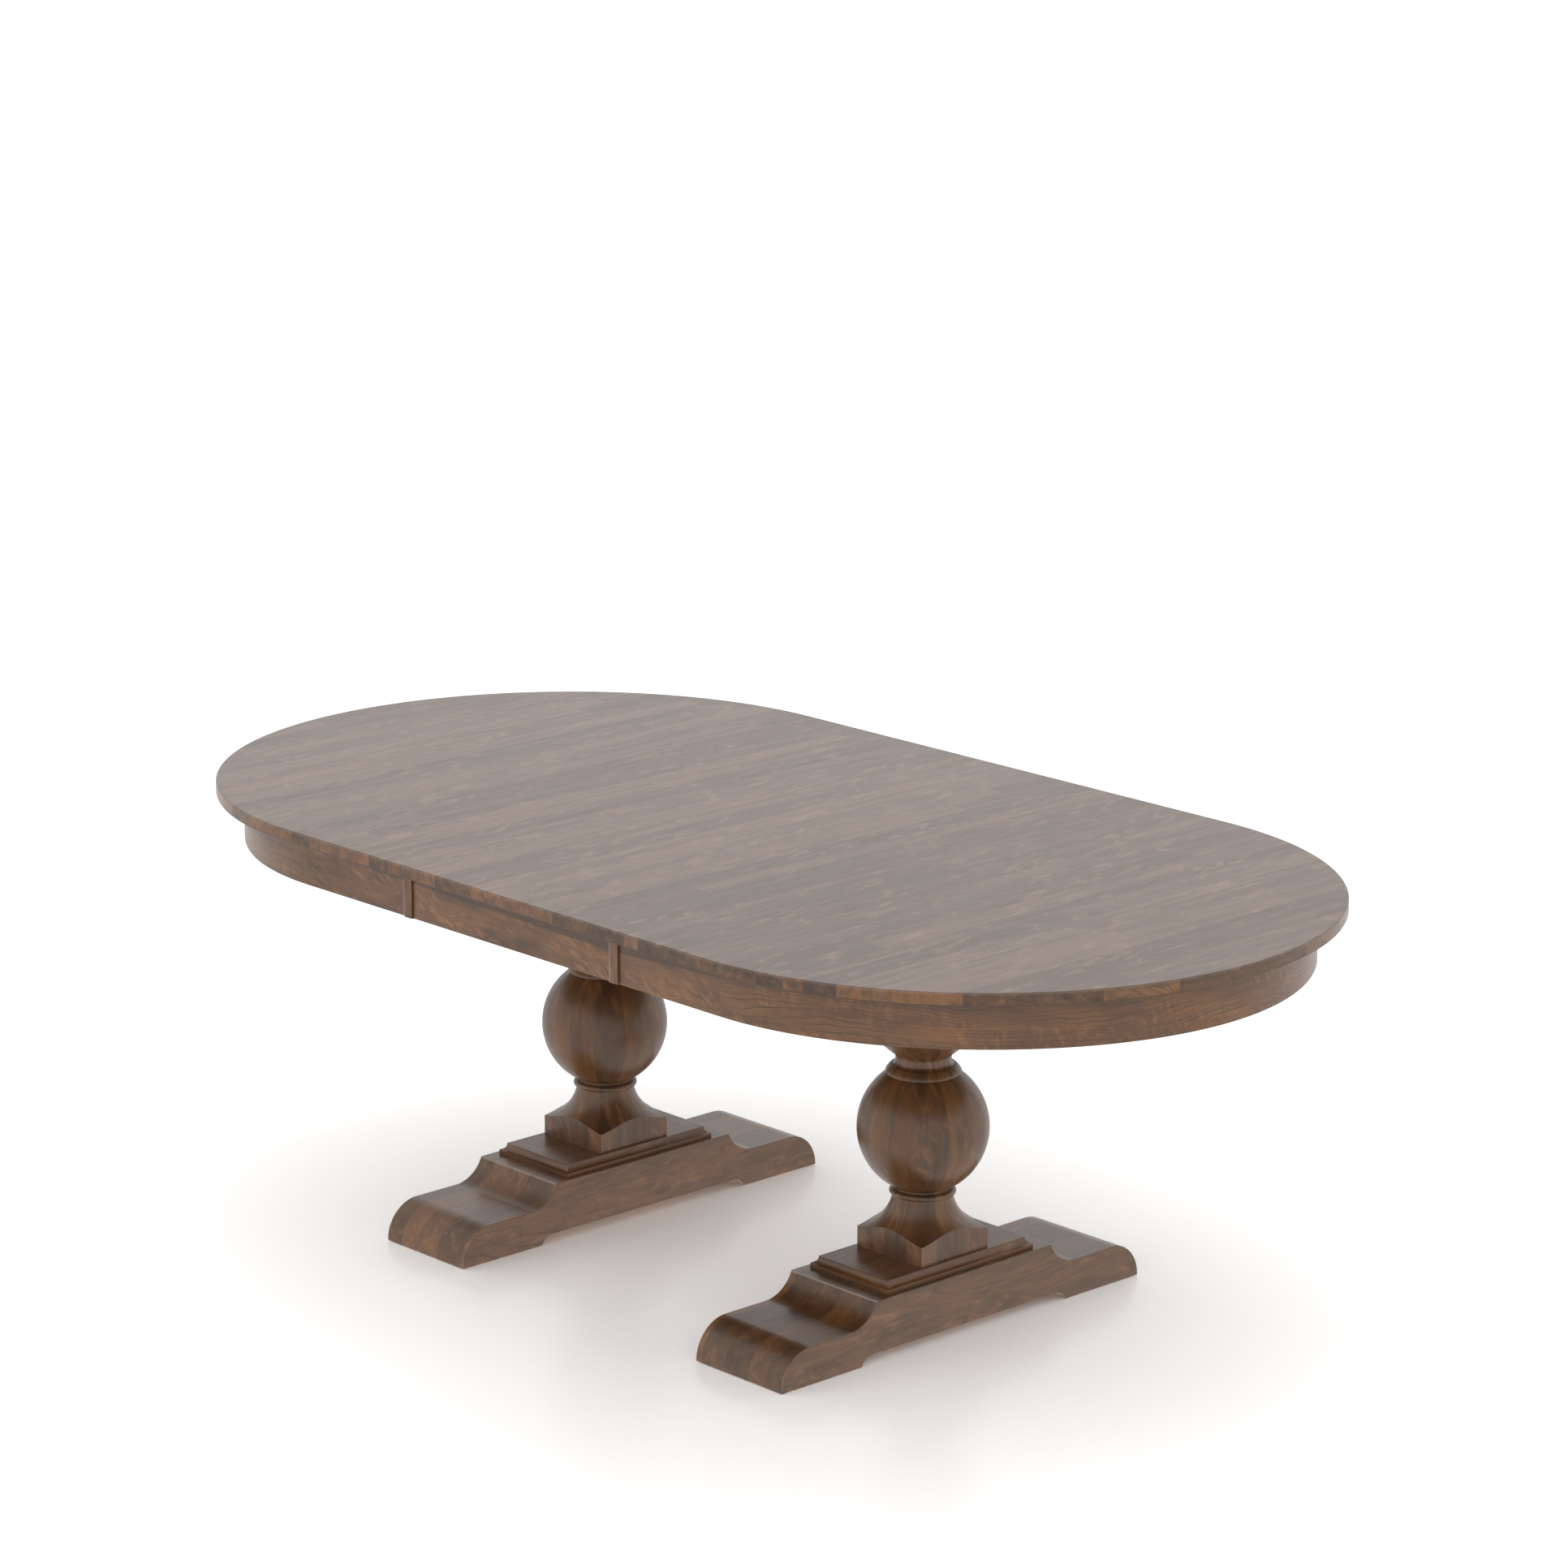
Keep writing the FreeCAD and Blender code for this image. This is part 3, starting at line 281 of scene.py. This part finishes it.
def figure_group():
    """Figure of one board, in board space: growth lines, streaks, clouds, flecks and fibres."""
    tree, g, given, out = new_group(
        "birch_figure",
        [("Vector", VECTOR), ("Swirl", VECTOR), ("Lines", VALUE), ("Rows", VALUE),
         ("Fleck Size", VECTOR), ("Slant", VALUE)],
        [("Fibre", VALUE), ("Line", VALUE), ("Fleck", VALUE), ("Cloud", VALUE), ("Streak", VALUE)])
    vector = given["Vector"]
    y = g.split(vector)[1]
    drift = g.minus(g.noise(g.scaled(vector, DRIFT), 1.0, 2.0), 0.5)
    ripple = g.minus(g.noise(g.scaled(vector, RIPPLE), 1.0, 2.0), 0.5)
    sway = g.math("MULTIPLY_ADD", ripple, RIPPLE_REACH, g.times(drift, DRIFT_REACH))
    bent = g.moved(vector, g.join(0.0, sway, 0.0))
    fibre = g.noise(g.scaled(bent, FIBRES), 1.0, 3.0, 0.6)
    hill = g.noise(g.scaled(bent, given["Swirl"]), 1.0, 1.0, 0.3)
    rows = g.times(g.plus(y, sway), given["Rows"])
    ring = g.math("FRACT", g.math("MULTIPLY_ADD", hill, given["Lines"], rows))
    late = g.flip(g.ramp(ring, 0.0, 0.26))
    line = g.larger(late, g.ramp(ring, 0.93, 1.0))
    faint = g.ramp(g.noise(g.scaled(bent, FAINTNESS), 1.0, 2.0), 0.25, 0.62)
    streak = g.noise(g.scaled(bent, STREAKS), 1.0, 2.0, 0.6)
    cloud = g.noise(g.scaled(vector, CLOUDS), 1.0, 3.0, 0.6)
    cluster = g.ramp(g.noise(g.moved(g.scaled(vector, CLUSTERS), (3.0, 5.0, 0.0)), 1.0, 2.0), 0.42, 0.6)
    turned = g.add("ShaderNodeVectorRotate", {"Vector": vector, "Angle": given["Slant"]},
                   rotation_type="Z_AXIS").outputs[0]
    lick = g.ramp(g.noise(g.scaled(turned, given["Fleck Size"]), 1.0, 2.0, 0.5, 0.4), 0.46, 0.72)
    g.feed(out["Fibre"], fibre)
    g.feed(out["Line"], g.times(line, faint))
    g.feed(out["Fleck"], g.times(cluster, lick))
    g.feed(out["Cloud"], cloud)
    g.feed(out["Streak"], streak)
    return tree


def stain_group():
    """Colour and roughness of stained wood from its figure and the tone of its stave. The shade input
    darkens it towards the dark stain and carries painted shade on some pieces; the wear input blends it
    towards a pale colour for wear and painted highlight.
    """
    tree, g, given, out = new_group(
        "stain",
        [("Dark", COLOUR), ("Cool", COLOUR), ("Warm", COLOUR), ("Light", COLOUR), ("Worn Highlight", COLOUR),
         ("Fibre", VALUE), ("Line", VALUE), ("Fleck", VALUE), ("Cloud", VALUE), ("Streak", VALUE),
         ("Tone", VALUE), ("Tint", VALUE), ("Joint", VALUE), ("Shade", VALUE), ("Wear And Highlight", VALUE),
         ("Contrast", VALUE), ("Cloud Depth", VALUE), ("Streak Depth", VALUE), ("Line Depth", VALUE),
         ("Fleck Depth", VALUE), ("Base Roughness", VALUE)],
        [("Color", COLOUR), ("Roughness", VALUE), ("Height", VALUE)])
    level = 0.5
    for label, depth in (("Tone", "Contrast"), ("Cloud", "Cloud Depth"), ("Streak", "Streak Depth")):
        level = g.math("MULTIPLY_ADD", g.minus(given[label], 0.5), given[depth], level)
    colour = g.blend(g.ramp(level, 0.0, 0.5, False), given["Dark"], given["Cool"])
    colour = g.blend(g.ramp(level, 0.5, 1.0, False), colour, given["Warm"])
    hue = g.minus(given["Tint"], 0.5)
    red = g.math("MULTIPLY_ADD", hue, RED_SHIFT, 1.0)
    shift = g.join(red, 1.0, g.math("MULTIPLY_ADD", hue, BLUE_SHIFT, 1.0))
    colour = g.blend(1.0, colour, shift, "MULTIPLY")
    fleck = g.times(given["Fleck"], given["Fleck Depth"])
    colour = g.blend(fleck, colour, given["Light"])
    fibre = g.times(g.ramp(given["Fibre"], 0.62, 0.34), FIBRE_DARKNESS)
    line = g.times(given["Line"], given["Line Depth"])
    dark = g.larger(line, g.times(given["Joint"], JOINT_DARKNESS))
    dark = g.larger(dark, given["Shade"])
    colour = g.blend(g.larger(dark, fibre), colour, given["Dark"])
    g.feed(out["Color"], g.blend(given["Wear And Highlight"], colour, given["Worn Highlight"]))
    rough = g.math("MULTIPLY_ADD", given["Fibre"], 0.1, given["Base Roughness"])
    g.feed(out["Roughness"], g.math("MULTIPLY_ADD", given["Line"], 0.05, rough))
    grooves = g.larger(given["Joint"], g.times(given["Line"], 0.4))
    g.feed(out["Height"], g.minus(given["Fibre"], grooves))
    return tree


STAVES = stave_group()
FIGURE = figure_group()
STAIN = stain_group()


def new_material(name):
    material = bpy.data.materials.new(name)
    material.use_nodes = True
    graph = Graph(material.node_tree)
    shader = material.node_tree.nodes["Principled BSDF"]
    return material, graph, shader


def place_on_piece(g):
    return g.split(g.add("ShaderNodeTexCoord").outputs["Object"])


def facing(g, axis):
    """How far the surface faces along one axis, either way: 0 to 1."""
    normal = g.split(g.add("ShaderNodeTexCoord").outputs["Normal"])
    return g.size(normal["xyz".index(axis)])


def board_space(g, along, across):
    """Object coordinates turned so that x runs along the grain and y across the face."""
    sides = dict(zip("xyz", place_on_piece(g)))
    depth = (set("xyz") - {along, across}).pop()
    return g.join(sides[along], sides[across], sides[depth])


def bent_space(g):
    """Board space of the bent apron ends: x along the bend, y up, z through the board."""
    x, y, z = place_on_piece(g)
    side = g.sign(x)
    beyond = g.minus(g.size(x), STRAIGHT_X)
    run = g.times(g.math("ARCTAN2", y, beyond), APRON_OUTER)
    depth = g.math("SQRT", g.plus(g.times(beyond, beyond), g.times(y, y)))
    return g.join(g.math("MULTIPLY_ADD", side, END_APART, run), z, depth)


def turned_space(g):
    """Board space of a column: staves round the turning, and straight ones on its square faces."""
    x, y, z = place_on_piece(g)
    side = g.sign(x)
    dx = g.minus(x, g.times(side, COLUMN_X))
    angle = g.math("ARCTAN2", y, dx)
    reach = g.larger(g.size(dx), g.size(y))
    on_face = g.math("GREATER_THAN", reach, SQUARE_HALF - FACE_SLACK)
    off_ball = g.math("GREATER_THAN", g.size(g.minus(z, BALL_Z)), BALL_RADIUS)
    square = g.times(on_face, off_ball)
    round_run = g.times(angle, BALL_RADIUS * ROUND_SHARE)
    run = g.add("ShaderNodeMix", {"Factor": square}, data_type="FLOAT")
    g.feed(run.inputs[2], round_run)
    g.feed(run.inputs[3], g.plus(g.plus(dx, y), FACE_APART))
    return g.join(z, run.outputs[0], g.times(side, COLUMN_APART))


def moulding_space(g):
    """Board space of a base plate: its long grain, and a mitred border with the grain along each side."""
    x, y, z = place_on_piece(g)
    dx = g.minus(g.size(x), COLUMN_X)
    from_side = g.minus(PLATE_HIGH.x - COLUMN_X, g.size(dx))
    from_end = g.minus(PLATE_HIGH.y, g.size(y))
    across_end = g.math("LESS_THAN", from_end, g.math("MINIMUM", from_side, PLATE_BORDER))
    turn = g.add("ShaderNodeMix", {"Factor": across_end}, data_type="VECTOR")
    g.feed(turn.inputs[4], g.join(y, x, z))
    g.feed(turn.inputs[5], g.join(x, y, z))
    return turn.outputs[1]


# How the figure of each kind of board is drawn: swirl, lines, rows, fleck size and slant
TOP_FIGURE = {"Swirl": (1.2, 7.0, 7.0), "Lines": 10.0, "Rows": 60.0,
              "Fleck Size": (21.0, 52.0, 52.0), "Slant": 0.3}
SWIRLED_FIGURE = {"Swirl": (6.0, 17.0, 17.0), "Lines": 13.0, "Rows": 150.0,
                  "Fleck Size": (34.0, 110.0, 110.0), "Slant": 0.5}
LONG_FIGURE = {"Swirl": (2.6, 12.0, 12.0), "Lines": 13.0, "Rows": 150.0,
               "Fleck Size": (45.0, 105.0, 105.0), "Slant": 1.25}
TURNED_FIGURE = {"Swirl": (1.5, 9.0, 9.0), "Lines": 12.0, "Rows": 180.0,
                 "Fleck Size": (30.0, 70.0, 70.0), "Slant": 0.5}
PLAIN_FIGURE = {"Swirl": (1.8, 10.0, 10.0), "Lines": 16.0, "Rows": 130.0,
                "Fleck Size": (16.0, 90.0, 90.0), "Slant": 0.25}


def finish_wood(name, space, figure, staves=None, colours=STAINED, contrast=1.0, clouds=1.2,
                streaks=0.8, line_depth=0.5, fleck_depth=0.6, gloss=0.3):
    """A lacquered wood, with its graph and stain node. staves: width, length and joint of the staves."""
    material, g, shader = new_material(name)
    vector = space(g)
    drawn = g.add("ShaderNodeGroup", node_tree=FIGURE)
    stain = g.add("ShaderNodeGroup", node_tree=STAIN)
    stain.inputs["Tone"].default_value = 0.5
    stain.inputs["Tint"].default_value = 0.5
    if staves:
        glued = g.add("ShaderNodeGroup", {"Vector": vector}, node_tree=STAVES)
        for label, value in zip(("Width", "Length", "Joint"), staves):
            glued.inputs[label].default_value = value
        vector = glued.outputs["Vector"]
        for label in ("Tone", "Tint", "Joint"):
            g.feed(stain.inputs[label], glued.outputs[label])
    g.feed(drawn.inputs["Vector"], vector)
    for label, value in figure.items():
        drawn.inputs[label].default_value = value
    for label, colour in zip(("Dark", "Cool", "Warm", "Light"), colours):
        stain.inputs[label].default_value = colour
    stain.inputs["Worn Highlight"].default_value = RUBBED_HIGHLIGHT
    for label in ("Fibre", "Line", "Fleck", "Cloud", "Streak"):
        g.feed(stain.inputs[label], drawn.outputs[label])
    for label, value in (("Contrast", contrast), ("Cloud Depth", clouds), ("Streak Depth", streaks),
                         ("Line Depth", line_depth), ("Fleck Depth", fleck_depth),
                         ("Base Roughness", gloss)):
        stain.inputs[label].default_value = value
    g.feed(shader.inputs["Base Color"], stain.outputs["Color"])
    g.feed(shader.inputs["Roughness"], stain.outputs["Roughness"])
    bumped = g.add("ShaderNodeBump", {"Height": stain.outputs["Height"], "Distance": GRAIN_HEIGHT,
                                      "Strength": GRAIN_BUMP})
    g.feed(shader.inputs["Normal"], bumped.outputs["Normal"])
    shader.inputs["IOR"].default_value = LACQUER_IOR
    return material, g, stain


def dress(material, *nodes):
    for name in nodes:
        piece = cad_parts[name]
        piece.data.materials.clear()
        piece.data.materials.append(material)


def soften(name):
    """Joins the loose triangles of a frame node for smooth shading, without touching its mesh."""
    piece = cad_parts[name]
    for polygon in piece.data.polygons:
        polygon.use_smooth = True
    weld = piece.modifiers.new("weld", "WELD")
    weld.merge_threshold = WELD_REACH
    split = piece.modifiers.new("edges", "EDGE_SPLIT")
    split.split_angle = SHARP_EDGE
    normals = piece.modifiers.new("normals", "WEIGHTED_NORMAL")
    normals.keep_sharp = True


def on_both_sides(name):
    return [name + "_left", name + "_right"]


def arris_wear_and_highlight(g, distance, width):
    """Painted highlight and wear along an arris, broken up by the grain: 1 at the arris, 0 from width on."""
    patch = g.noise(g.add("ShaderNodeTexCoord").outputs["Object"], 60.0, 2.0)
    reach = g.times(g.ramp(patch, 0.2, 0.6), width)
    return g.flip(g.ramp(distance, 0.0, reach))


def shade_by(g, stain, mask, first, second):
    """Stain colours that change from the first set to the second where the mask is 1."""
    for label, before, after in zip(("Dark", "Cool", "Warm"), first, second):
        g.feed(stain.inputs[label], g.blend(mask, before, after))


def dress_top():
    """Glued staves on the face, and their sawn ends with growth rings round the edge, a painted shade line
    along the lower arris and painted highlight with wear along the upper one.
    """
    top, g, stain = finish_wood("top_birch", lambda g: board_space(g, "y", "x"), TOP_FIGURE, TOP_STAVES,
                                TOP_STAIN, contrast=0.9, clouds=1.1, streaks=1.9, line_depth=0.3, gloss=0.2)
    x, y, z = place_on_piece(g)
    edge = g.flip(g.ramp(facing(g, "z"), 0.3, 0.8))
    shade_by(g, stain, edge, TOP_STAIN, STAINED)
    g.feed(stain.inputs["Fleck Depth"], g.math("MULTIPLY_ADD", edge, -0.45, 0.6))
    lean = g.times(g.noise(g.join(g.times(x, LEAN_WAVES), 0.0, 0.0), 1.0, 0.0), LEAN_SPREAD)
    slope = g.math("MULTIPLY_ADD", z, g.minus(lean, LEAN_BACK), x)
    rings = g.noise(g.join(g.times(slope, RING_WAVES), g.times(y, RING_WAVES_ALONG), 0.0), 1.0, 1.0)
    hatch = g.times(g.times(g.ramp(rings, 0.42, 0.62), edge), RING_DARKNESS)
    # Painted shade: a dark line along the lower arris of the edge
    painted_shade_line = g.flip(g.ramp(g.minus(z, TOP_LOW.z), *TOP_SHADE_LINE))
    g.feed(stain.inputs["Shade"], g.larger(hatch, painted_shade_line))
    # Painted highlight with wear along the upper arris
    below = g.minus(TOP_HIGH.z - TOP_ARRIS, z)
    on_arris = g.times(g.math("GREATER_THAN", below, 0.0), arris_wear_and_highlight(g, below, TOP_RUB_AND_HIGHLIGHT_WIDTH))
    g.feed(stain.inputs["Wear And Highlight"], g.times(on_arris, TOP_WEAR_AND_HIGHLIGHT))
    dress(top, "leaf_top", *on_both_sides("top"))


def dress_aprons():
    """Boards with a darker band under the top, bent ends in thin layers, and the seam strips, with painted
    shade on the side facing the seam and painted highlight with wear on an arris.
    """
    straight, g, stain = finish_wood("apron_birch", lambda g: board_space(g, "x", "z"), SWIRLED_FIGURE,
                                     clouds=1.5, line_depth=0.45, fleck_depth=0.75, gloss=0.24)
    x, y, z = place_on_piece(g)
    # A darker band along the top of the boards, deepest at the seam
    from_seam = g.minus(x, SEAM_X)
    falling = g.times(g.math("MINIMUM", from_seam, 0.0), DARK_BAND_FALL)
    rising = g.times(g.larger(from_seam, 0.0), DARK_BAND_RISE)
    above_band_edge = g.minus(z, g.plus(g.plus(falling, rising), DARK_BAND_Z))
    g.feed(stain.inputs["Shade"], g.times(g.ramp(above_band_edge, -SOFT_LINE, SOFT_LINE), DARK_BAND_DARKNESS))
    dress(straight, "leaf_apron_front", "leaf_apron_back", *on_both_sides("apron_front"),
          *on_both_sides("apron_back"))
    bent, g, stain = finish_wood("bent_birch", bent_space, LONG_FIGURE, clouds=1.0, line_depth=0.95,
                                 fleck_depth=0.5, gloss=0.22)
    stain.inputs["Tone"].default_value = 0.62
    x, y, z = place_on_piece(g)
    low = g.flip(g.ramp(z, BENT_SEAM_Z - SOFT_LINE, BENT_SEAM_Z + SOFT_LINE))
    run = g.split(bent_space(g))[0]
    patch = g.noise(g.join(g.times(g.plus(run, z), PATCH_WAVES), 0.0, 0.0), 1.0, 1.0)
    g.feed(stain.inputs["Shade"], g.times(g.times(g.ramp(patch, 0.42, 0.6), low), PATCH_DARKNESS))
    dress(bent, *on_both_sides("apron_end"))
    strip, g, stain = finish_wood("strip_birch", lambda g: board_space(g, "z", "x"), PLAIN_FIGURE)
    x, y, z = place_on_piece(g)
    # Painted shade on the side of each strip that faces the seam
    leaning = g.split(g.add("ShaderNodeTexCoord").outputs["Normal"])[0]
    leaning = g.times(leaning, g.sign(y))
    g.feed(stain.inputs["Shade"], g.times(g.ramp(leaning, -0.5, -0.9), STRIP_SIDE_SHADE))
    # Painted highlight with wear along an arris of each strip's face
    forward = g.minus(g.times(x, g.times(g.sign(y), -1.0)), STRIP_SETBACK)
    inward = g.size(g.minus(g.size(forward), SEAM_X))
    proud = g.minus(g.size(y), APRON_OUTER)
    on_face = g.math("GREATER_THAN", proud, STRIP_FACE)
    on_arris = g.flip(g.ramp(inward, STRIP_RUB_AND_HIGHLIGHT_WIDTH, STRIP_RUB_AND_HIGHLIGHT_WIDTH + SOFT_LINE))
    g.feed(stain.inputs["Wear And Highlight"], g.times(g.times(on_arris, on_face), STRIP_WEAR_AND_HIGHLIGHT))
    dress(strip, "leaf_seam_strips", *on_both_sides("seam_strip"))


def dress_pedestals():
    """Feet with sides painted paler as painted light and rims with painted highlight and wear, moulded
    plates, and columns turned from staves whose upright faces get the same painted light.
    """
    foot, g, stain = finish_wood("foot_birch", lambda g: board_space(g, "y", "x"), PLAIN_FIGURE, FOOT_STAVES,
                                 FOOT_STAIN, clouds=1.0, line_depth=0.6, fleck_depth=0.35)
    x, y, z = place_on_piece(g)
    dx = g.size(g.minus(g.size(x), COLUMN_X))
    # Painted light: the upright sides of the foot take the paler side stain
    upper = g.flip(g.ramp(facing(g, "x"), 0.2, 0.6))
    shade_by(g, stain, upper, LIT_SIDE_STAIN, FOOT_STAIN)
    g.feed(stain.inputs["Contrast"], g.math("MULTIPLY_ADD", upper, 0.6, 0.1))
    flat = g.ramp(facing(g, "z"), 0.93, 0.995)
    g.feed(stain.inputs["Base Roughness"], g.math("MULTIPLY_ADD", flat, -0.09, 0.33))
    # Painted highlight with wear along the rims and at the end of the step
    rim = arris_wear_and_highlight(g, g.minus(FOOT_HIGH.x - COLUMN_X - RIM_ROUND, dx), RIM_RUB_AND_HIGHLIGHT_WIDTH)
    from_step = g.size(g.minus(g.size(y), SHELF_END))
    on_step = g.flip(g.ramp(from_step, *STEP_RUB_AND_HIGHLIGHT_RANGE))
    on_step = g.times(on_step, g.math("GREATER_THAN", z, FOOT_HIGH.z - STEP_DEPTH))
    rubbed_and_highlit = g.times(g.larger(rim, on_step), upper)
    g.feed(stain.inputs["Wear And Highlight"], g.times(rubbed_and_highlit, FOOT_WEAR_AND_HIGHLIGHT))
    dress(foot, *on_both_sides("foot"))
    plate = finish_wood("plate_birch", moulding_space, PLAIN_FIGURE, colours=FOOT_STAIN, clouds=0.9,
                        fleck_depth=0.3)[0]
    dress(plate, *on_both_sides("base_plate"))
    column, g, stain = finish_wood("turned_birch", turned_space, TURNED_FIGURE, COLUMN_STAVES, TURNED_STAIN,
                                   clouds=1.4, line_depth=0.3, fleck_depth=0.4)
    # Painted light: the upright square faces of the column take the paler side stain
    off_ball = g.math("GREATER_THAN", g.size(g.minus(place_on_piece(g)[2], BALL_Z)), BALL_RADIUS)
    upright = g.flip(g.ramp(facing(g, "z"), 0.02, 0.1))
    faces = g.times(off_ball, upright)
    shade_by(g, stain, faces, TURNED_STAIN, LIT_SIDE_STAIN)
    g.feed(stain.inputs["Contrast"], g.math("MULTIPLY_ADD", faces, -0.3, 0.7))
    dress(column, *on_both_sides("column"))


def dress_inner_wood():
    """The woods inside: stained cleats and battens, and bare rails, runners and blocks."""
    cleat = finish_wood("cleat_birch", lambda g: board_space(g, "y", "x"), PLAIN_FIGURE, CLEAT_STAVES)[0]
    dress(cleat, "cross_battens", *on_both_sides("cleat"))
    rails = finish_wood("rail_wood", lambda g: board_space(g, "x", "z"), PLAIN_FIGURE, colours=BARE)[0]
    dress(rails, "centre_rail_front", "centre_rail_back", *on_both_sides("runner_front"),
          *on_both_sides("runner_back"))
    cross = finish_wood("cross_wood", lambda g: board_space(g, "y", "z"), PLAIN_FIGURE, colours=BARE)[0]
    dress(cross, *on_both_sides("end_rail"))
    blocks = finish_wood("block_wood", lambda g: board_space(g, "x", "z"), PLAIN_FIGURE,
                         BLOCK_STAVES, BARE)[0]
    dress(blocks, "leaf_glue_blocks", "pedestal_dowels", *on_both_sides("glue_blocks"),
          *on_both_sides("seam_pins"))


def metal(name, colour, roughness):
    material, g, shader = new_material(name)
    place = g.add("ShaderNodeTexCoord").outputs["Object"]
    cloud = g.noise(place, 160.0, 4.0)
    scratch = g.noise(g.scaled(place, (900.0, 60.0, 900.0)), 1.0, 2.0)
    dull = tuple(0.7 * c for c in colour[:3]) + (1.0,)
    g.feed(shader.inputs["Base Color"], g.blend(g.ramp(cloud, 0.3, 0.7), dull, colour))
    g.feed(shader.inputs["Roughness"], g.math("MULTIPLY_ADD", scratch, 0.2, roughness))
    bumped = g.add("ShaderNodeBump", {"Height": scratch, "Distance": 0.00005, "Strength": 0.3})
    g.feed(shader.inputs["Normal"], bumped.outputs["Normal"])
    shader.inputs["Metallic"].default_value = 1.0
    return material


def moulded(name, colour):
    material, g, shader = new_material(name)
    place = g.add("ShaderNodeTexCoord").outputs["Object"]
    cloud = g.noise(place, 90.0, 3.0)
    shade = tuple(0.85 * c for c in colour[:3]) + (1.0,)
    g.feed(shader.inputs["Base Color"], g.blend(cloud, shade, colour))
    g.feed(shader.inputs["Roughness"], g.math("MULTIPLY_ADD", cloud, 0.2, 0.4))
    return material


def dress_hardware():
    zinc = metal("zinc_plate", (0.62, 0.6, 0.55, 1.0), 0.3)
    dress(zinc, "tie_rods", "rod_nuts", "rod_washers", "rail_screws", "pinion_pins", "slide_stop_pins",
          "leaf_screws", "leaf_catches", *on_both_sides("screws"), *on_both_sides("lock_plates"),
          *on_both_sides("lock_catches"), *on_both_sides("lock_lever_front"),
          *on_both_sides("lock_lever_back"))
    nylon = moulded("white_nylon", (0.78, 0.76, 0.7, 1.0))
    dress(nylon, "pinion_front", "pinion_back", *on_both_sides("racks"))
    dark = moulded("brown_nylon", (0.05, 0.035, 0.028, 1.0))
    dress(dark, "floor_glides")


def build_floor():
    """A white floor that shows the camera its shadow, and lights the table evenly."""
    bpy.ops.mesh.primitive_plane_add(size=FLOOR_SIZE)
    floor = bpy.context.object
    floor.name = "studio_floor"
    material, g, shader = new_material("studio_floor")
    g.tree.nodes.remove(shader)
    matt = g.add("ShaderNodeBsdfDiffuse", {"Color": FLOOR_SEEN})
    gloss = g.add("ShaderNodeBsdfGlossy", {"Roughness": FLOOR_BLUR})
    seen = g.add("ShaderNodeMixShader", {0: FLOOR_GLOSS, 1: matt.outputs[0], 2: gloss.outputs[0]})
    glow = g.add("ShaderNodeEmission", {"Strength": FLOOR_GLOW})
    in_sight = g.add("ShaderNodeLightPath").outputs["Is Camera Ray"]
    mixed = g.add("ShaderNodeMixShader", {0: in_sight, 1: glow.outputs[0], 2: seen.outputs[0]})
    g.feed(g.tree.nodes["Material Output"].inputs["Surface"], mixed.outputs[0])
    floor.data.materials.append(material)


def build_sky():
    world = bpy.data.worlds.new("studio_sky")
    bpy.context.scene.world = world
    world.use_nodes = True
    background = world.node_tree.nodes["Background"]
    background.inputs["Color"].default_value = (1.0, 1.0, 1.0, 1.0)
    background.inputs["Strength"].default_value = SKY_STRENGTH


def build_camera():
    data = bpy.data.cameras.new("photo_camera")
    data.lens = CAMERA_LENS
    data.sensor_width = SENSOR
    data.clip_end = 100.0
    camera = bpy.data.objects.new("photo_camera", data)
    bpy.context.scene.collection.objects.link(camera)
    camera.location = CAMERA_PLACE
    camera.rotation_euler = (math.pi / 2 - CAMERA_DIP, 0.0, CAMERA_TURN)
    bpy.context.scene.camera = camera


bpy.context.scene.view_settings.view_transform = "Standard"
build_camera()
build_sky()
build_floor()
dress_top()
dress_aprons()
dress_pedestals()
dress_inner_wood()
dress_hardware()
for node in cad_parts:
    soften(node)
